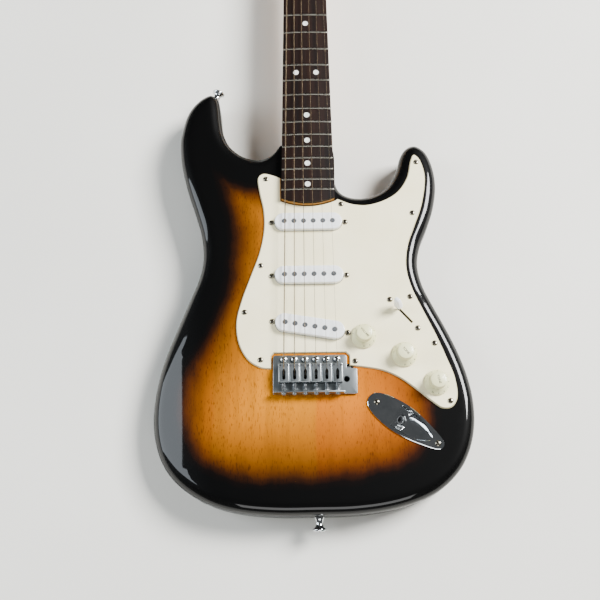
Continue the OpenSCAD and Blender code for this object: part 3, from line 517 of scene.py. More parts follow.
def writing(text, size, thickness=0.06):
    """Raised lettering centred on the origin."""
    font = bpy.data.curves.new("writing", "FONT")
    font.body = text
    font.size = size
    font.align_x = "CENTER"
    font.align_y = "CENTER"
    font.extrude = thickness / 2
    font.offset = size * 0.012
    font.resolution_u = 3
    item = bpy.data.objects.new("writing", font)
    bpy.context.scene.collection.objects.link(item)
    result = evaluated(item)
    bpy.data.objects.remove(item)
    return result


# ---------- making objects ----------
def make(name, shape, look, body, replaces=(), angle=35):
    """One piece of the guitar: a mesh in metres with its material, riding on its body."""
    mesh = bpy.data.meshes.new(name)
    mesh.from_pydata((shape.points * MM).tolist(), [], shape.faces)
    mesh.validate()
    piece = bpy.data.objects.new(name, mesh)
    bpy.context.scene.collection.objects.link(piece)
    dress(piece, look, angle)
    if body:
        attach(piece, body)
    if replaces:
        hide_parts(*replaces)
    return piece


def dress(piece, look, angle=35):
    """Puts a material on a piece, and smooths every edge flatter than the angle."""
    piece.data.materials.clear()
    piece.data.materials.append(look)
    piece.data.shade_smooth()
    piece.data.set_sharp_from_angle(angle=math.radians(angle))


def rgb(code):
    """A colour written as sRGB hex, in linear light."""
    values = [int(code[k:k + 2], 16) / 255 for k in (1, 3, 5)]
    return tuple(v / 12.92 if v <= 0.04045 else ((v + 0.055) / 1.055) ** 2.4 for v in values) + (1.0,)


class Look:
    """A node material. Each method adds a node and returns its output."""

    def __init__(self, name, colour, roughness=0.4, metallic=0.0, coat=0.0, specular=0.5):
        self.material = bpy.data.materials.new(name)
        self.material.use_nodes = True
        self.tree = self.material.node_tree
        self.shader = self.tree.nodes["Principled BSDF"]
        self.socket("Base Color", rgb(colour))
        self.socket("Roughness", roughness)
        self.socket("Metallic", metallic)
        self.socket("Coat Weight", coat)
        self.socket("Coat Roughness", 0.04)
        self.socket("Specular IOR Level", specular)
        self.place = self.tree.nodes.new("ShaderNodeTexCoord").outputs["Object"]

    def socket(self, name, value):
        target = self.shader.inputs[name]
        if isinstance(value, bpy.types.NodeSocket):
            self.tree.links.new(value, target)
        else:
            target.default_value = value

    def add(self, kind, output=0, settings=None, **inputs):
        node = self.tree.nodes.new("ShaderNode" + kind)
        for key, value in (settings or {}).items():
            setattr(node, key, value)
        for key, value in inputs.items():
            target = node.inputs[int(key[1:])] if key[1:].isdigit() else node.inputs[key.replace("_", " ")]
            if isinstance(value, bpy.types.NodeSocket):
                self.tree.links.new(value, target)
            else:
                target.default_value = value
        return node.outputs[output]

    def noise(self, scale, detail=3.0, stretch=(1, 1, 1), roughness=0.5):
        """Noise with features about 1 / scale metres across, stretched along the axes."""
        place = self.add("Mapping", Vector=self.place, Scale=tuple(scale * s for s in stretch))
        return self.add("TexNoise", Vector=place, Scale=1.0, Detail=detail, Roughness=roughness)

    def ramp(self, value, stops):
        """A colour ramp. stops are (position, hex colour or grey)."""
        output = self.add("ValToRGB", Fac=value)
        band = output.node.color_ramp
        while len(band.elements) < len(stops):
            band.elements.new(1.0)
        for element, (position, colour) in zip(band.elements, sorted(stops)):
            element.position = position
            element.color = rgb(colour) if isinstance(colour, str) else (colour, colour, colour, 1)
        return output

    def mix(self, factor, a, b, blend="MIX"):
        return self.add("Mix", 2, {"data_type": "RGBA", "blend_type": blend}, _0=factor, _6=a, _7=b)

    def math(self, operation, a, b=0.0):
        return self.add("Math", 0, {"operation": operation}, _0=a, _1=b)

    def bump(self, height, depth, distance=0.001):
        self.socket("Normal", self.add("Bump", Height=height, Strength=depth, Distance=distance))

    def vary(self, colour, other, scale, amount=1.0, stretch=(1, 1, 1)):
        """Two colours mixed by soft noise."""
        spread = self.ramp(self.noise(scale, 4, stretch), [(0.32, 0.0), (0.68, amount)])
        mixed = self.mix(spread, rgb(colour), rgb(other))
        self.socket("Base Color", mixed)
        return mixed

    def roughen(self, low, high, scale, stretch=(1, 1, 1)):
        """Roughness that drifts between two values."""
        self.socket("Roughness", self.add("MapRange", Value=self.noise(scale, 4, stretch), _3=low, _4=high))


def plastic(name, colour, other, roughness=0.3, coat=0.25):
    look = Look(name, colour, roughness, coat=coat)
    look.vary(colour, other, 60)
    look.roughen(roughness - 0.08, roughness + 0.1, 250)
    look.bump(look.noise(900, 2), 0.08, 0.0002)
    return look.material


def metal(name, colour, other, roughness, grain=(1, 1, 1), spread=0.08, scale=300):
    look = Look(name, colour, roughness, metallic=1.0)
    look.vary(colour, other, 90, stretch=grain)
    look.roughen(max(roughness - spread, 0.02), roughness + spread, scale, grain)
    look.bump(look.noise(scale * 5, 3, grain), 0.06, 0.0002)
    return look.material


def sunburst():
    """Amber wood under clear gloss, shaded through brown to a black rim."""
    look = Look("sunburst_body", "#c98400", 0.5, coat=0.5, specular=0.05)
    look.socket("Coat Roughness", 0.03)
    depth = look.add("Attribute", 2, {"attribute_name": "burst"})
    cloud = look.math("MULTIPLY", look.math("SUBTRACT", look.noise(45, 3, (1, 0.7, 1)), 0.5), 0.09)
    shade = look.math("ADD", depth, cloud)
    burst = look.ramp(shade, [
        (0.20, "#000000"), (0.245, "#060100"), (0.29, "#260e00"), (0.34, "#4a2400"), (0.42, "#6e3e00"),
        (0.54, "#905200"), (0.68, "#ae6600"), (0.86, "#c27600")])
    # Boards glued side by side, each with its own tone
    across = look.add("SeparateXYZ", 0, Vector=look.place)
    wander = look.math("MULTIPLY", look.noise(9, 2, (1, 1, 1)), 0.012)
    side = look.math("ADD", across, wander)
    boards = look.ramp(look.add("MapRange", Value=side, _1=-0.16, _2=0.16), [
        (0.0, "#f2e0b0"), (0.21, "#fff0c8"), (0.222, "#ffffe4"), (0.53, "#fffff0"), (0.54, "#fbdcb0"),
        (0.62, "#ffe6bc"), (0.80, "#fad6ac"), (1.0, "#f2ce9e")])
    wood = look.mix(0.75, burst, boards, "MULTIPLY")
    streaks = look.ramp(look.noise(120, 4, (1, 0.07, 1), 0.6), [(0.30, 0.72), (0.52, 0.96), (0.72, 1.0)])
    wood = look.mix(0.8, wood, streaks, "MULTIPLY")
    drift = look.ramp(look.noise(22, 3, (1, 0.35, 1)), [(0.30, 0.80), (0.60, 1.0)])
    wood = look.mix(0.7, wood, drift, "MULTIPLY")
    # Short dark pores, denser in some bands
    pores = look.noise(1150, 1.5, (1, 0.15, 1), 0.5)
    crowd = look.math("MULTIPLY", look.noise(30, 2, (1, 0.4, 1)), 0.16)
    pores = look.ramp(look.math("ADD", pores, crowd), [(0.68, 0.0), (0.74, 0.5)])
    wood = look.mix(pores, wood, look.mix(1.0, wood, rgb("#6b4a34"), "MULTIPLY"))
    walls = look.ramp(look.add("MapRange", Value=look.add("SeparateXYZ", 2,
                                                          Vector=look.add("NewGeometry", 1)),
                               _1=-1.0, _2=1.0), [(0.0, 0.0), (0.30, 0.0), (0.34, 1.0), (0.66, 1.0),
                                                  (0.70, 0.0)])
    inside = look.math("MULTIPLY", walls, look.ramp(depth, [(0.2, 0.0), (0.26, 0.75)]))
    look.socket("Base Color", look.mix(inside, wood, rgb("#54280a")))
    look.bump(look.noise(260, 2, (1, 0.3, 1)), 0.03, 0.0004)
    return look.material


def rosewood():
    look = Look("rosewood", "#1c100b", 0.6, specular=0.12)
    base = look.vary("#0d0706", "#21120c", 160, 1.0, (1, 0.05, 1))
    fine = look.ramp(look.noise(1500, 2, (1, 0.04, 1)), [(0.56, 0.0), (0.70, 0.7)])
    look.socket("Base Color", look.mix(fine, base, rgb("#060303")))
    look.roughen(0.45, 0.65, 400, (1, 0.1, 1))
    look.bump(look.noise(1500, 2, (1, 0.04, 1)), 0.2, 0.0003)
    return look.material


def maple():
    look = Look("maple", "#dcae6d", 0.3, coat=0.6)
    base = look.vary("#d39c50", "#bb7f38", 110, 1.0, (1, 0.04, 1))
    flame = look.ramp(look.noise(60, 2, (0.5, 1.2, 1)), [(0.4, 0.0), (0.7, 0.18)])
    look.socket("Base Color", look.mix(flame, base, rgb("#a2662a")))
    look.roughen(0.26, 0.38, 200)
    look.bump(look.noise(900, 2, (1, 0.05, 1)), 0.05, 0.0003)
    return look.material


def guard_plastic():
    """Cream plastic, coloured darker on its sloping edge and on every face that does not face up."""
    look = Look("cream_plastic", "#f6ecc6", 0.36, coat=0.35)
    face = look.vary("#fbf1cb", "#f5eabf", 25)
    tilt = look.add("SeparateXYZ", 2, Vector=look.add("NewGeometry", 1))
    # Faces tilted away from straight up, the sloping edge among them, are coloured a darker cream
    edge = look.ramp(look.add("MapRange", Value=tilt, _1=-1.0, _2=1.0),
                     [(0.52, 1.0), (0.93, 1.0), (0.97, 0.0)])
    look.socket("Base Color", look.mix(edge, face, rgb("#c9bf98")))
    look.roughen(0.30, 0.42, 120)
    look.bump(look.noise(700, 2), 0.05, 0.0002)
    return look.material


def pearl():
    look = Look("pearl", "#f1efe6", 0.22, coat=0.6)
    look.vary("#f6f4ec", "#d9dbd6", 500)
    look.bump(look.noise(600, 2), 0.1, 0.0002)
    return look.material


def wound_string(name, colour, other):
    """Steel string whose winding shows as fine ridges along Y."""
    look = Look(name, colour, 0.34, metallic=1.0)
    look.vary(colour, other, 300)
    look.roughen(0.28, 0.42, 500)
    ridges = look.add("TexWave", 0, {"bands_direction": "Y"}, Vector=look.place, Scale=900.0,
                      Distortion=0.3)
    look.bump(ridges, 0.35, 0.0003)
    return look.material


SUNBURST = sunburst()
ROSEWOOD = rosewood()
MAPLE = maple()
CREAM = guard_plastic()
WHITE = plastic("white_plastic", "#f4f4f3", "#e9eaea", 0.26, 0.5)
AGED = plastic("aged_white_plastic", "#e6e3b4", "#dcd8a2", 0.38, 0.3)
BONE = plastic("bone_plastic", "#ece5d0", "#e2d9bf", 0.34, 0.2)
PEARL = pearl()
FIBRE = plastic("black_fibre", "#242426", "#17171a", 0.6, 0.0)
COPPER = metal("copper_wire", "#7d3e20", "#5d2a14", 0.4)
CLOTH = plastic("cloth_wire", "#d9d4c4", "#b9b29c", 0.8, 0.0)
PRINT = plastic("dial_print", "#1b2016", "#12150f", 0.6, 0.0)
FRET_WIRE = metal("fret_wire", "#9a988e", "#7f7c72", 0.28)
STRING_STEEL = wound_string("string_steel", "#7c6c58", "#62543f")
STEEL = metal("steel", "#a8aaac", "#8e9092", 0.34)
CAST = metal("cast_steel", "#6d7073", "#595c5f", 0.5)
SATIN = metal("satin_chrome", "#a3a9ab", "#8f9597", 0.33, (1, 0.15, 1), 0.05)
CHROME = metal("chrome", "#d4d7d8", "#c4c8ca", 0.10, spread=0.05)
NICKEL = metal("nickel_screws", "#8f8a7d", "#6e695c", 0.25)


# ---------- body ----------
def distance_to(loop, points, block=2000):
    """Distance from each point to a closed outline."""
    a, b = loop, np.roll(loop, -1, 0)
    along = b - a
    length2 = np.sum(along * along, 1)
    out = []
    for start in range(0, len(points), block):
        p = points[start:start + block, None, :]
        t = np.clip(np.sum((p - a) * along, 2) / length2, 0, 1)
        out.append(np.sqrt(np.min(np.sum((p - a - t[:, :, None] * along) ** 2, 2), 1)))
    return np.concatenate(out)


def smoothstep(a, b, x):
    t = np.clip((x - a) / (b - a), 0, 1)
    return t * t * (3 - 2 * t)


def softly_positive(x, width):
    """max(x, 0) with a rounded corner."""
    return (x + np.sqrt(x * x + width * width)) / 2


def edge_radius(points):
    """The edge is rounded wide, but tightly where the neck joins."""
    near_heel = 1 - smoothstep(34, 60, np.hypot(points[:, 0], points[:, 1] - 258))
    return EDGE_RADIUS - (EDGE_RADIUS - 3) * near_heel


def rounding(points, distance):
    """How far the face has dropped at a distance from the edge."""
    radius = edge_radius(points)
    t = 1 - np.clip(distance / radius, 0, 1)
    return radius * (1 - np.sqrt(1 - t * t))


def forearm_drop(points):
    """Depth of the bevel on the bass side of the front."""
    lean = math.radians(4)
    beyond = -(math.cos(lean) * (points[:, 0] + 104) + math.sin(lean) * (points[:, 1] + 20))
    window = 1 - smoothstep(95, 145, points[:, 1])
    return 0.249 * softly_positive(beyond - 3, 14) * window * smoothstep(-60, 10, beyond + 20)


def belly_rise(points):
    """Depth of the hollow at the back of the waist."""
    y = points[:, 1]
    ends = smoothstep(90, 20, y) + smoothstep(158, 224, y)
    depth = 13 - (points[:, 0] + 112) * math.tan(math.radians(12)) - 13 * ends
    return np.where(points[:, 0] < 0, softly_positive(depth - 1.5, 5), 0.0) * smoothstep(-20, -50,
                                                                                         points[:, 0])


def body_blank():
    outline = inset(curve(BODY_KNOTS, 7, closed=True), 0.03)
    ahead = np.roll(outline, -1, 0) - np.roll(outline, 1, 0)
    normal = np.stack([-ahead[:, 1], ahead[:, 0]], 1) / np.linalg.norm(ahead, axis=1)[:, None]
    layers = [outline]
    for t in np.linspace(0, math.pi / 2, 9)[1:]:
        offset = EDGE_RADIUS * (1 - math.cos(t))
        ring = outline + offset * normal
        layers.append(ring[distance_to(outline, ring) > offset - 0.04])
    low, high = outline.min(0), outline.max(0)
    rows = [(x + (k % 2) * 3, y) for k, y in enumerate(np.arange(low[1], high[1], 5.2))
            for x in np.arange(low[0], high[0], 6)]
    grid = np.array(rows)
    grid = grid[contains(outline, grid)]
    grid = grid[distance_to(outline, grid) > EDGE_RADIUS + 2.5]
    points = np.concatenate(layers + [grid])
    n = len(outline)
    edges = [(i, (i + 1) % n) for i in range(n)]
    flat, _, faces, origin, _, _ = delaunay_2d_cdt([Vector(p) for p in points], edges, [], 1, 1e-5)
    flat = np.array([v[:] for v in flat])
    index = {source: k for k, sources in enumerate(origin) for source in sources}
    rim_ids = [index[i] for i in range(n)]
    distance = distance_to(outline, flat)
    distance[rim_ids] = 0
    top = BODY_Z1 - rounding(flat, distance) - forearm_drop(flat)
    bottom = BODY_Z0 + rounding(flat, distance) + belly_rise(flat)
    m = len(flat)
    whole = [np.column_stack([flat, bottom]), np.column_stack([flat, top])]
    sides = []
    for share in (0.2, 0.4, 0.6, 0.8):
        z = bottom[rim_ids] + (top[rim_ids] - bottom[rim_ids]) * share
        sides.append(range(2 * m + len(sides) * n, 2 * m + (len(sides) + 1) * n))
        whole.append(np.column_stack([flat[rim_ids], z]))
    rows = [rim_ids, *sides, [i + m for i in rim_ids]]
    skin = [tuple(f[::-1]) for f in faces] + [tuple(i + m for i in f) for f in faces]
    wall = [(a[i], a[(i + 1) % n], b[(i + 1) % n], b[i]) for a, b in zip(rows, rows[1:]) for i in range(n)]
    return Shape(np.concatenate(whole), skin + wall)


def heel_plan(grow, y1):
    bow = [(a * (27.9 + grow), 177.8 - grow + 6 * a * a) for a in np.linspace(-1, 1, 17)]
    return np.array(bow + [(board_half(y1) + grow, y1), (-board_half(y1) - grow, y1)])


def prism(loop, z0, z1):
    return loft([np.column_stack([loop, np.full(len(loop), z)]) for z in (z0, z1)])


def blob(discs, steps=20):
    """The outline round several discs, each (x, y, radius)."""
    points = np.concatenate([circle(x, y, r, steps) for x, y, r in discs])
    points = points[np.lexsort((points[:, 1], points[:, 0]))]

    def half(order):
        chain = []
        for p in order:
            while len(chain) > 1 and np.cross(chain[-1] - chain[-2], p - chain[-2]) <= 0:
                chain.pop()
            chain.append(p)
        return chain[:-1]

    return np.array(half(points) + half(points[::-1]))


def mirrored(half):
    """A closed outline: one half, whose last point is on the X axis, and its mirror image."""
    half = np.array(half, float)
    return np.concatenate([half, half[-2::-1] * (1, -1)])


def cavities():
    """Solids that are cut from the body. Their ends differ a little, so that no two faces coincide."""
    volume, neck_tone, middle_tone = (middle(node)[:2] for node, *_ in KNOBS)
    floor, above = BODY_Z0 + 8, BODY_Z1 + 9
    neck_pocket = [
        prism(heel_plan(0.15, 300), POCKET_Z, BODY_Z1 + 20),
        cuboid(20, 206, POCKET_Z, 45, 290, BODY_Z1 + 20),
        cuboid(-45, 249, POCKET_Z, -20, 290, BODY_Z1 + 20)]
    depth = [(0, BODY_Z1 - 20), (0, BODY_Z1 + 10)]
    routes = [plate(placed(rounded(88, 23, 5), at_pickup(i)), depth) for i in range(3)]
    channel = cuboid(28, 40, BODY_Z1 - 20.2, 38, 158, BODY_Z1 + 11)
    controls = [
        prism(blob([(*volume, 13.5), (*neck_tone, 13.5)]), floor, above),
        prism(blob([(*neck_tone, 13.4), (*middle_tone, 13.5)]), floor - 0.1, above + 0.2),
        prism(blob([(*neck_tone, 12), (63.7, 41.2, 10), (*SWITCH_XY, 14)]), floor - 0.2, above + 0.4),
        prism(placed(rounded(54, 18, 1, 2), at_switch()), floor - 0.3, above + 0.6)]
    tremolo = [
        cuboid(-34.5, -18.5, -1, 42.5, 6, 60),
        cuboid(-38, -23, -1.2, 43, 8.5, BODY_Z0 + 21),
        cuboid(-36, 5, -1.4, 36, 112, BODY_Z0 + 18)]
    dish = mirrored([(19.4, -13), (34, -13.4), (47, -11.8), (57, -8.6), (63.6, -5), (65.4, 0)])
    jack = [
        prism(dish, BODY_Z1 - 15, above).moved(at_jack()),
        prism(blob([(8, 0, 8.6), (31, 0, 9)]), BODY_Z1 - 32, BODY_Z1 + 8).moved(at_jack()),
        tube([(80, -44, BODY_Z1 - 26), (87.6, 2.8, BODY_Z1 - 18.5)], 4, 16)]
    return [*neck_pocket, *routes, channel, *controls, *tremolo, *jack]


def pilot_holes():
    holes = [rod(x, y, BODY_Z1 - 12, BODY_Z1 + 4, 1.3, 12) for x, y in GUARD_SCREWS]
    holes += [rod(string_x(i), PIVOT_Y, BODY_Z1 - 26, BODY_Z1 + 4, 1.6, 12) for i in range(6)]
    holes += [rod(*p, -3, POCKET_Z + 3, 2.35, 12) for p in NECK_SCREWS]
    holes += [rod(*p, -3, BODY_Z0 + 12, 1.3, 12) for p in COVER_SCREWS]
    holes += [rod(u, 0, BODY_Z1 - 14, BODY_Z1 + 4, 1.3, 12).moved(at_jack()) for u in (0, JACK_SCREW_GAP)]
    holes += [rod(0, 0, -22, 10, 1.75, 12).moved(place) for place in (at_end_button(), at_horn_button())]
    return joined(holes)


def burst_depth(flat):
    """How far points are into the sunburst: 0.2 is the inner edge of the black rim, and 1 is amber."""
    outline = curve(BODY_KNOTS, 7, closed=True)
    near = 1 / (np.stack([np.hypot(*(flat - spot).T) for spot, _ in RIM_WIDTHS]) + 12) ** 3
    width = np.sum(near * np.array([w for _, w in RIM_WIDTHS])[:, None], 0) / np.sum(near, 0)
    return (distance_to(outline, flat) + 24 - width) / 120


def body():
    shape = cut(body_blank(), *cavities(), pilot_holes())
    piece = make("guitar_body", shape, SUNBURST, "guitar", ["body"], 40)
    layer = piece.data.attributes.new("burst", "FLOAT", "POINT")
    layer.data.foreach_set("value", burst_depth(shape.points[:, :2]).astype(np.float32))


# ---------- pickguard ----------
def stadium(length, width, steps=24):
    """A slot shape with half-circle ends, anticlockwise."""
    a = np.linspace(-math.pi / 2, math.pi / 2, steps + 1)
    right = np.stack([(length - width) / 2 + width / 2 * np.cos(a), width / 2 * np.sin(a)], 1)
    return np.concatenate([right, -right])


def pickguard():
    """The sheet with a sloping edge, and its holes."""
    right = curve(GUARD_RIGHT_KNOTS, 8)[:-5]
    heel = np.array([(a * 28.5, 176.9 + 6 * a * a) for a in np.linspace(1, -1, 13)])
    left = curve(GUARD_LEFT_KNOTS, 8)
    notch = np.array([(-38.8, 14), (-36.3, 17), (35.5, 17), (38.5, 14)])
    outer = np.concatenate([right, heel, left, notch])
    holes = [placed(stadium(PICKUP_LENGTH + 0.8, PICKUP_WIDTH + 0.8), at_pickup(i)) for i in range(3)]
    holes.append(placed(rounded(25, 2.4, 0.3, 2), at_switch()))
    holes += [circle(x, y, 1.55, 16) for x, y in GUARD_SCREWS]
    holes += [placed(circle(s * PICKUP_SCREW_X, 0, 1.55, 16), at_pickup(i)) for i in range(3)
              for s in (-1, 1)]
    holes += [circle(*middle(node)[:2], 3.55, 24) for node, *_ in KNOBS]
    holes += [placed(circle(s * SWITCH_SCREW_X, 0, 1.55, 16), at_switch()) for s in (-1, 1)]
    z0 = BODY_Z1 + 0.02
    profile = [(0, z0), (0, z0 + 0.5), (0.9, GUARD_Z1 - 0.12), (1.15, GUARD_Z1)]
    hole_profile = [(0, z0), (0, GUARD_Z1 - 0.15), (0.15, GUARD_Z1)]
    make("pickguard_sheet", plate(outer, profile, holes, hole_profile), CREAM, "guitar", ["pickguard"], 25)


def guard_screws():
    places = [shift(x, y, GUARD_Z1 + 0.02) @ turn(37 * k) for k, (x, y) in enumerate(GUARD_SCREWS)]
    screws = repeated(cross_screw(1.2, 11.9, 2.85, 1.3), places)
    make("pickguard_screw_set", screws, NICKEL, "guitar", ["pickguard_screws"])


# ---------- pickups ----------
def pickup_cover(i):
    """A thin shell, open below, with a hole over each magnet."""
    top = PICKUPS[i][2]
    outer = stadium(PICKUP_LENGTH, PICKUP_WIDTH)
    n = len(outer)
    outside = loft(levels(outer, rim(top - 14, top, 0.05, 1.1, 5)), caps=False)
    inside = loft(levels(outer, [(1.3, top - 14), (1.3, top - 1.4)]), caps=False)
    inside.faces = [f[::-1] for f in inside.faces]
    lid = [(0, top - 1.4), (0, top - 0.12), (0.12, top)]
    poles = [circle((k - 2.5) * POLE_PITCH, 0, 2.65, 20)[::-1] for k in range(6)]
    whole = joined([outside, inside, *(loft(levels(pole, lid), caps=False) for pole in poles)])
    start = len(outside.points)
    whole.faces += [(k, start + k, start + (k + 1) % n, (k + 1) % n) for k in range(n)]
    first = [start + 2 * n + 60 * h for h in range(6)]
    close(whole, [range(start - n, start), *(range(k + 40, k + 60) for k in first)], True)
    close(whole, [range(start + n, start + 2 * n), *(range(k, k + 20) for k in first)], False)
    return whole.moved(at_pickup(i))


def pickups():
    covers = joined([pickup_cover(i) for i in range(3)])
    make("pickup_cover_set", covers, WHITE, "guitar", ["pickup_covers"])
    slug = lathe([(0, -17.1), (2.2, -17.1), (2.4, -16.9), (2.4, -0.35), (2.1, 0), (0, 0)], 28)
    places = [at_pickup(i) @ shift((k - 2.5) * POLE_PITCH, 0, PICKUPS[i][2] + 0.7) for i in range(3)
              for k in range(6)]
    make("magnet_set", repeated(slug, places), CAST, "guitar", ["pole_magnets"])
    ends = [(i, s, at_pickup(i) @ shift(s * PICKUP_SCREW_X, 0)) for i in range(3) for s in (-1, 1)]
    places = [end @ shift(0, 0, GUARD_Z1 + 0.02) @ turn(25 * s + 40 * i) for i, s, end in ends]
    screws = repeated(cross_screw(1.25, 17.9, 2.9, 1.7), places)
    make("pickup_screw_set", screws, NICKEL, "guitar", ["pickup_screws"])
    springs = []
    for i, _, end in ends:
        z = PICKUPS[i][2] - 14
        coil = tube(helix(2.0, 0.45, BODY_Z1 - z - 0.5, 5, 12), 0.35, 6)
        springs.append(coil.moved(end @ shift(0, 0, z - 0.05)))
    make("pickup_spring_set", joined(springs), NICKEL, "guitar", ["pickup_springs"])


# ---------- knobs and switch ----------
def knobs():
    skirt_profile = [(6.4, 0), (12.3, 0), (12.5, 0.25), (12.5, 1.0), (12.2, 1.4), (11.3, 2.3), (10.2, 3.6),
                     (9.4, 5.0), (9.0, 5.9), (8.6, 6.2)]
    top = span("volume_knob")[1].z - KNOB_Z0
    cap_profile = [(8.25, 6.2), (8.3, 6.6), (8.05, top - 0.6), (7.95, top - 0.25), (7.562, top), (0, top)]
    for node, body_name, label, label_angle in KNOBS:
        x, y = middle(node)[:2]
        place = shift(x, y, KNOB_Z0)
        bore = [(0, 10.2), (3.1, 10.2), (3.1, 1.4), (6.4, 1.4)]
        skirt = lathe(bore + skirt_profile + cap_profile, 120, ribs=(6.5, 40, 0.55))
        make(node + "_cap", skirt.moved(place), AGED, body_name, [node], 40)
        shaft = lathe([(0, BODY_Z1 - 8.5 - KNOB_Z0), (2.98, BODY_Z1 - 8.5 - KNOB_Z0), (2.98, 10.0),
                       (0, 10.0)], 36)
        make(node + "_shaft", shaft.moved(place), STEEL, body_name)
        marks = []
        for k in range(10):
            bearing = label_angle + 90 - (k - 4.5) * 29
            tilt = turn(bearing - 90) @ shift(0, 11.0, 2.62) @ turn(-47, "X")
            marks.append(writing(str(k + 1), 2.3, 0.12).moved(tilt))
        name = writing(label, 2.9 if len(label) > 4 else 3.2,
                       0.12).moved(turn(label_angle) @ shift(0, 0, top + 0.03))
        make(node + "_print", joined([*marks, name]).moved(place), PRINT, body_name)


def switch():
    blade = loft([[(x * w, y * 0.6, z) for x, y in ((-1, -1), (1, -1), (1, 1), (-1, 1))]
                  for z, w in ((-6, 2.4), (-2, 3.2), (4, 1.3), (34.5, 1.1))])
    pin = lathe([(0, -2), (1.45, -2), (1.45, 3.6), (0, 3.6)], 20).moved(turn(-90, "X"))
    lever = joined([bevelled(blade, 0.12), pin])
    make("switch_blade", lever.moved(at_lever()), STEEL, "selector", ["switch_lever"])
    rings = []
    for z, half, deep, r in ((31, 3.9, 2.7, 1.5), (31.3, 4.25, 2.95, 1.6), (35, 4.2, 2.9, 1.6),
                             (40, 3.5, 2.6, 1.5),
                             (43.4, 2.9, 2.2, 1.4), (44.3, 2.5, 1.8, 1.3), (44.7, 1.7, 1.1, 1.0)):
        rings.append(np.column_stack([rounded(2 * half, 2 * deep, min(r, deep - 0.05)), np.full(28, z)]))
    tip = cut(loft(rings), cuboid(-1.25, -0.65, 30, 1.25, 0.65, 34.6))
    make("switch_cap", tip.moved(at_lever()), WHITE, "selector", ["switch_tip"], 40)
    places = [at_switch() @ shift(s * SWITCH_SCREW_X, 0, GUARD_Z1 + 0.02) @ turn(30 * s) for s in (-1, 1)]
    screws = repeated(cross_screw(1.3, 8.9, 2.85, 1.4), places)
    make("switch_screw_set", screws, NICKEL, "guitar", ["switch_screws"])


# ---------- output jack ----------
def dish_depth(u, v):
    """The dish's end wall is square to the jack, and its trough rises away from it."""
    wall = -0.839 * (u - 21)
    trough = -10.6 + (u - 33.3) * 0.34
    return np.minimum(np.maximum(wall, trough), 0.0) * (1 - 0.25 * (v / 12) ** 2)


def jack_plate():
    top = BODY_Z1 + 1.6
    outline = curve(JACK_KNOTS[::-1], 6, closed=True)
    side = curve([(63.9, 0), (62.6, 2.6), (58, 5.8), (50, 9.2), (40, 11.3), (30, 11.9)], 4)
    side = np.concatenate([side, [(24, 11.6), (22.2, 11.2), (21.2, 9.8)]])
    opening = np.concatenate([(side * (1, -1))[:0:-1], side])
    centre = np.array([38.0, 0.0])
    rings = []
    for shrink, depth in ((1.0, 0.0), (0.985, 0.35), (0.94, 0.86), (0.86, 0.97), (0.7, 1), (0.5, 1),
                          (0.3, 1), (0.12, 1)):
        flat = centre + (opening - centre) * shrink
        z = top - 0.05 * (shrink < 1) + depth * dish_depth(*flat.T)
        rings.append(np.column_stack([flat, z]))
    n, m = len(opening), len(outline)
    profile = [(0, BODY_Z1 + 0.02), (0, top - 0.75), (0.2, top - 0.3), (0.7, top)]
    upper = loft(levels(outline, profile), caps=False)
    dish = loft([r[::-1] for r in rings], caps=False)
    dish.faces.append(tuple(range(len(dish.points) - n, len(dish.points))))
    under = loft([r - (0, 0, 1.1 if k else 1.58) for k, r in enumerate(rings)], caps=False)
    under.faces.append(tuple(range(len(under.points) - n, len(under.points)))[::-1])
    holes = [circle(u, 0, 1.5, 20)[::-1] for u in (0, JACK_SCREW_GAP)]
    drilled = [loft(levels(h, [(0, BODY_Z1 + 0.02), (0, top)]), caps=False) for h in holes]
    whole = joined([upper, dish, under, *drilled])
    first_dish = len(upper.points)
    first_under = first_dish + len(dish.points)
    first = [first_under + len(under.points) + 40 * h for h in range(2)]
    rim_row = range(3 * m, 4 * m)
    close(whole, [rim_row, range(first_dish, first_dish + n), *(range(k + 20, k + 40) for k in first)],
          True)
    close(whole, [range(m), range(first_under, first_under + n), *(range(k, k + 20) for k in first)], False)
    bore = rod(0, 0, -14, 3, 4.9, 32).moved(at_jack().inverted() @ on_jack_axis())
    make("jack_dish", cut(whole, bore).moved(at_jack()), CHROME, "guitar", ["jack_plate"], 30)


def jack():
    jack_plate()
    collar = [(3.2, -10), (4.75, -10), (4.75, -8.5), (7.5, -8.5), (7.6, -8.3), (7.6, -5.5), (7.5, -5.3),
              (4.75, -5.3)]
    threads = [(4.75 - 0.25 * (k % 2), -5 + k * 0.42) for k in range(15)]
    barrel = lathe([*collar, *threads, (4.4, 1.5), (3.4, 1.5), (3.2, 1.2)], 36, hollow=True)
    contacts = [cuboid(-4.7, -2, -23.8, -3.8, 2, -8.6), cuboid(3.8, -2, -21.8, 4.6, 2, -8.6)]
    barrel = joined([barrel, *(bevelled(c, 0.2) for c in contacts)])
    make("jack_barrel", barrel.moved(on_jack_axis()), STEEL, "guitar", ["jack_socket"])
    nut = cut(hexagon([(6.1, -0.4), (6.4, -0.1), (6.4, 0.9), (6.0, 1.3)]), rod(0, 0, -2, 3, 4.8, 36))
    make("jack_nut", nut.moved(on_jack_axis()), CHROME, "guitar")
    places = [at_jack() @ shift(u, 0, BODY_Z1 + 1.65) @ turn(u) for u in (0, JACK_SCREW_GAP)]
    screws = repeated(cross_screw(1.2, 12.9, 2.9, 1.6), places)
    make("jack_screw_set", screws, NICKEL, "guitar", ["jack_plate_screws"])


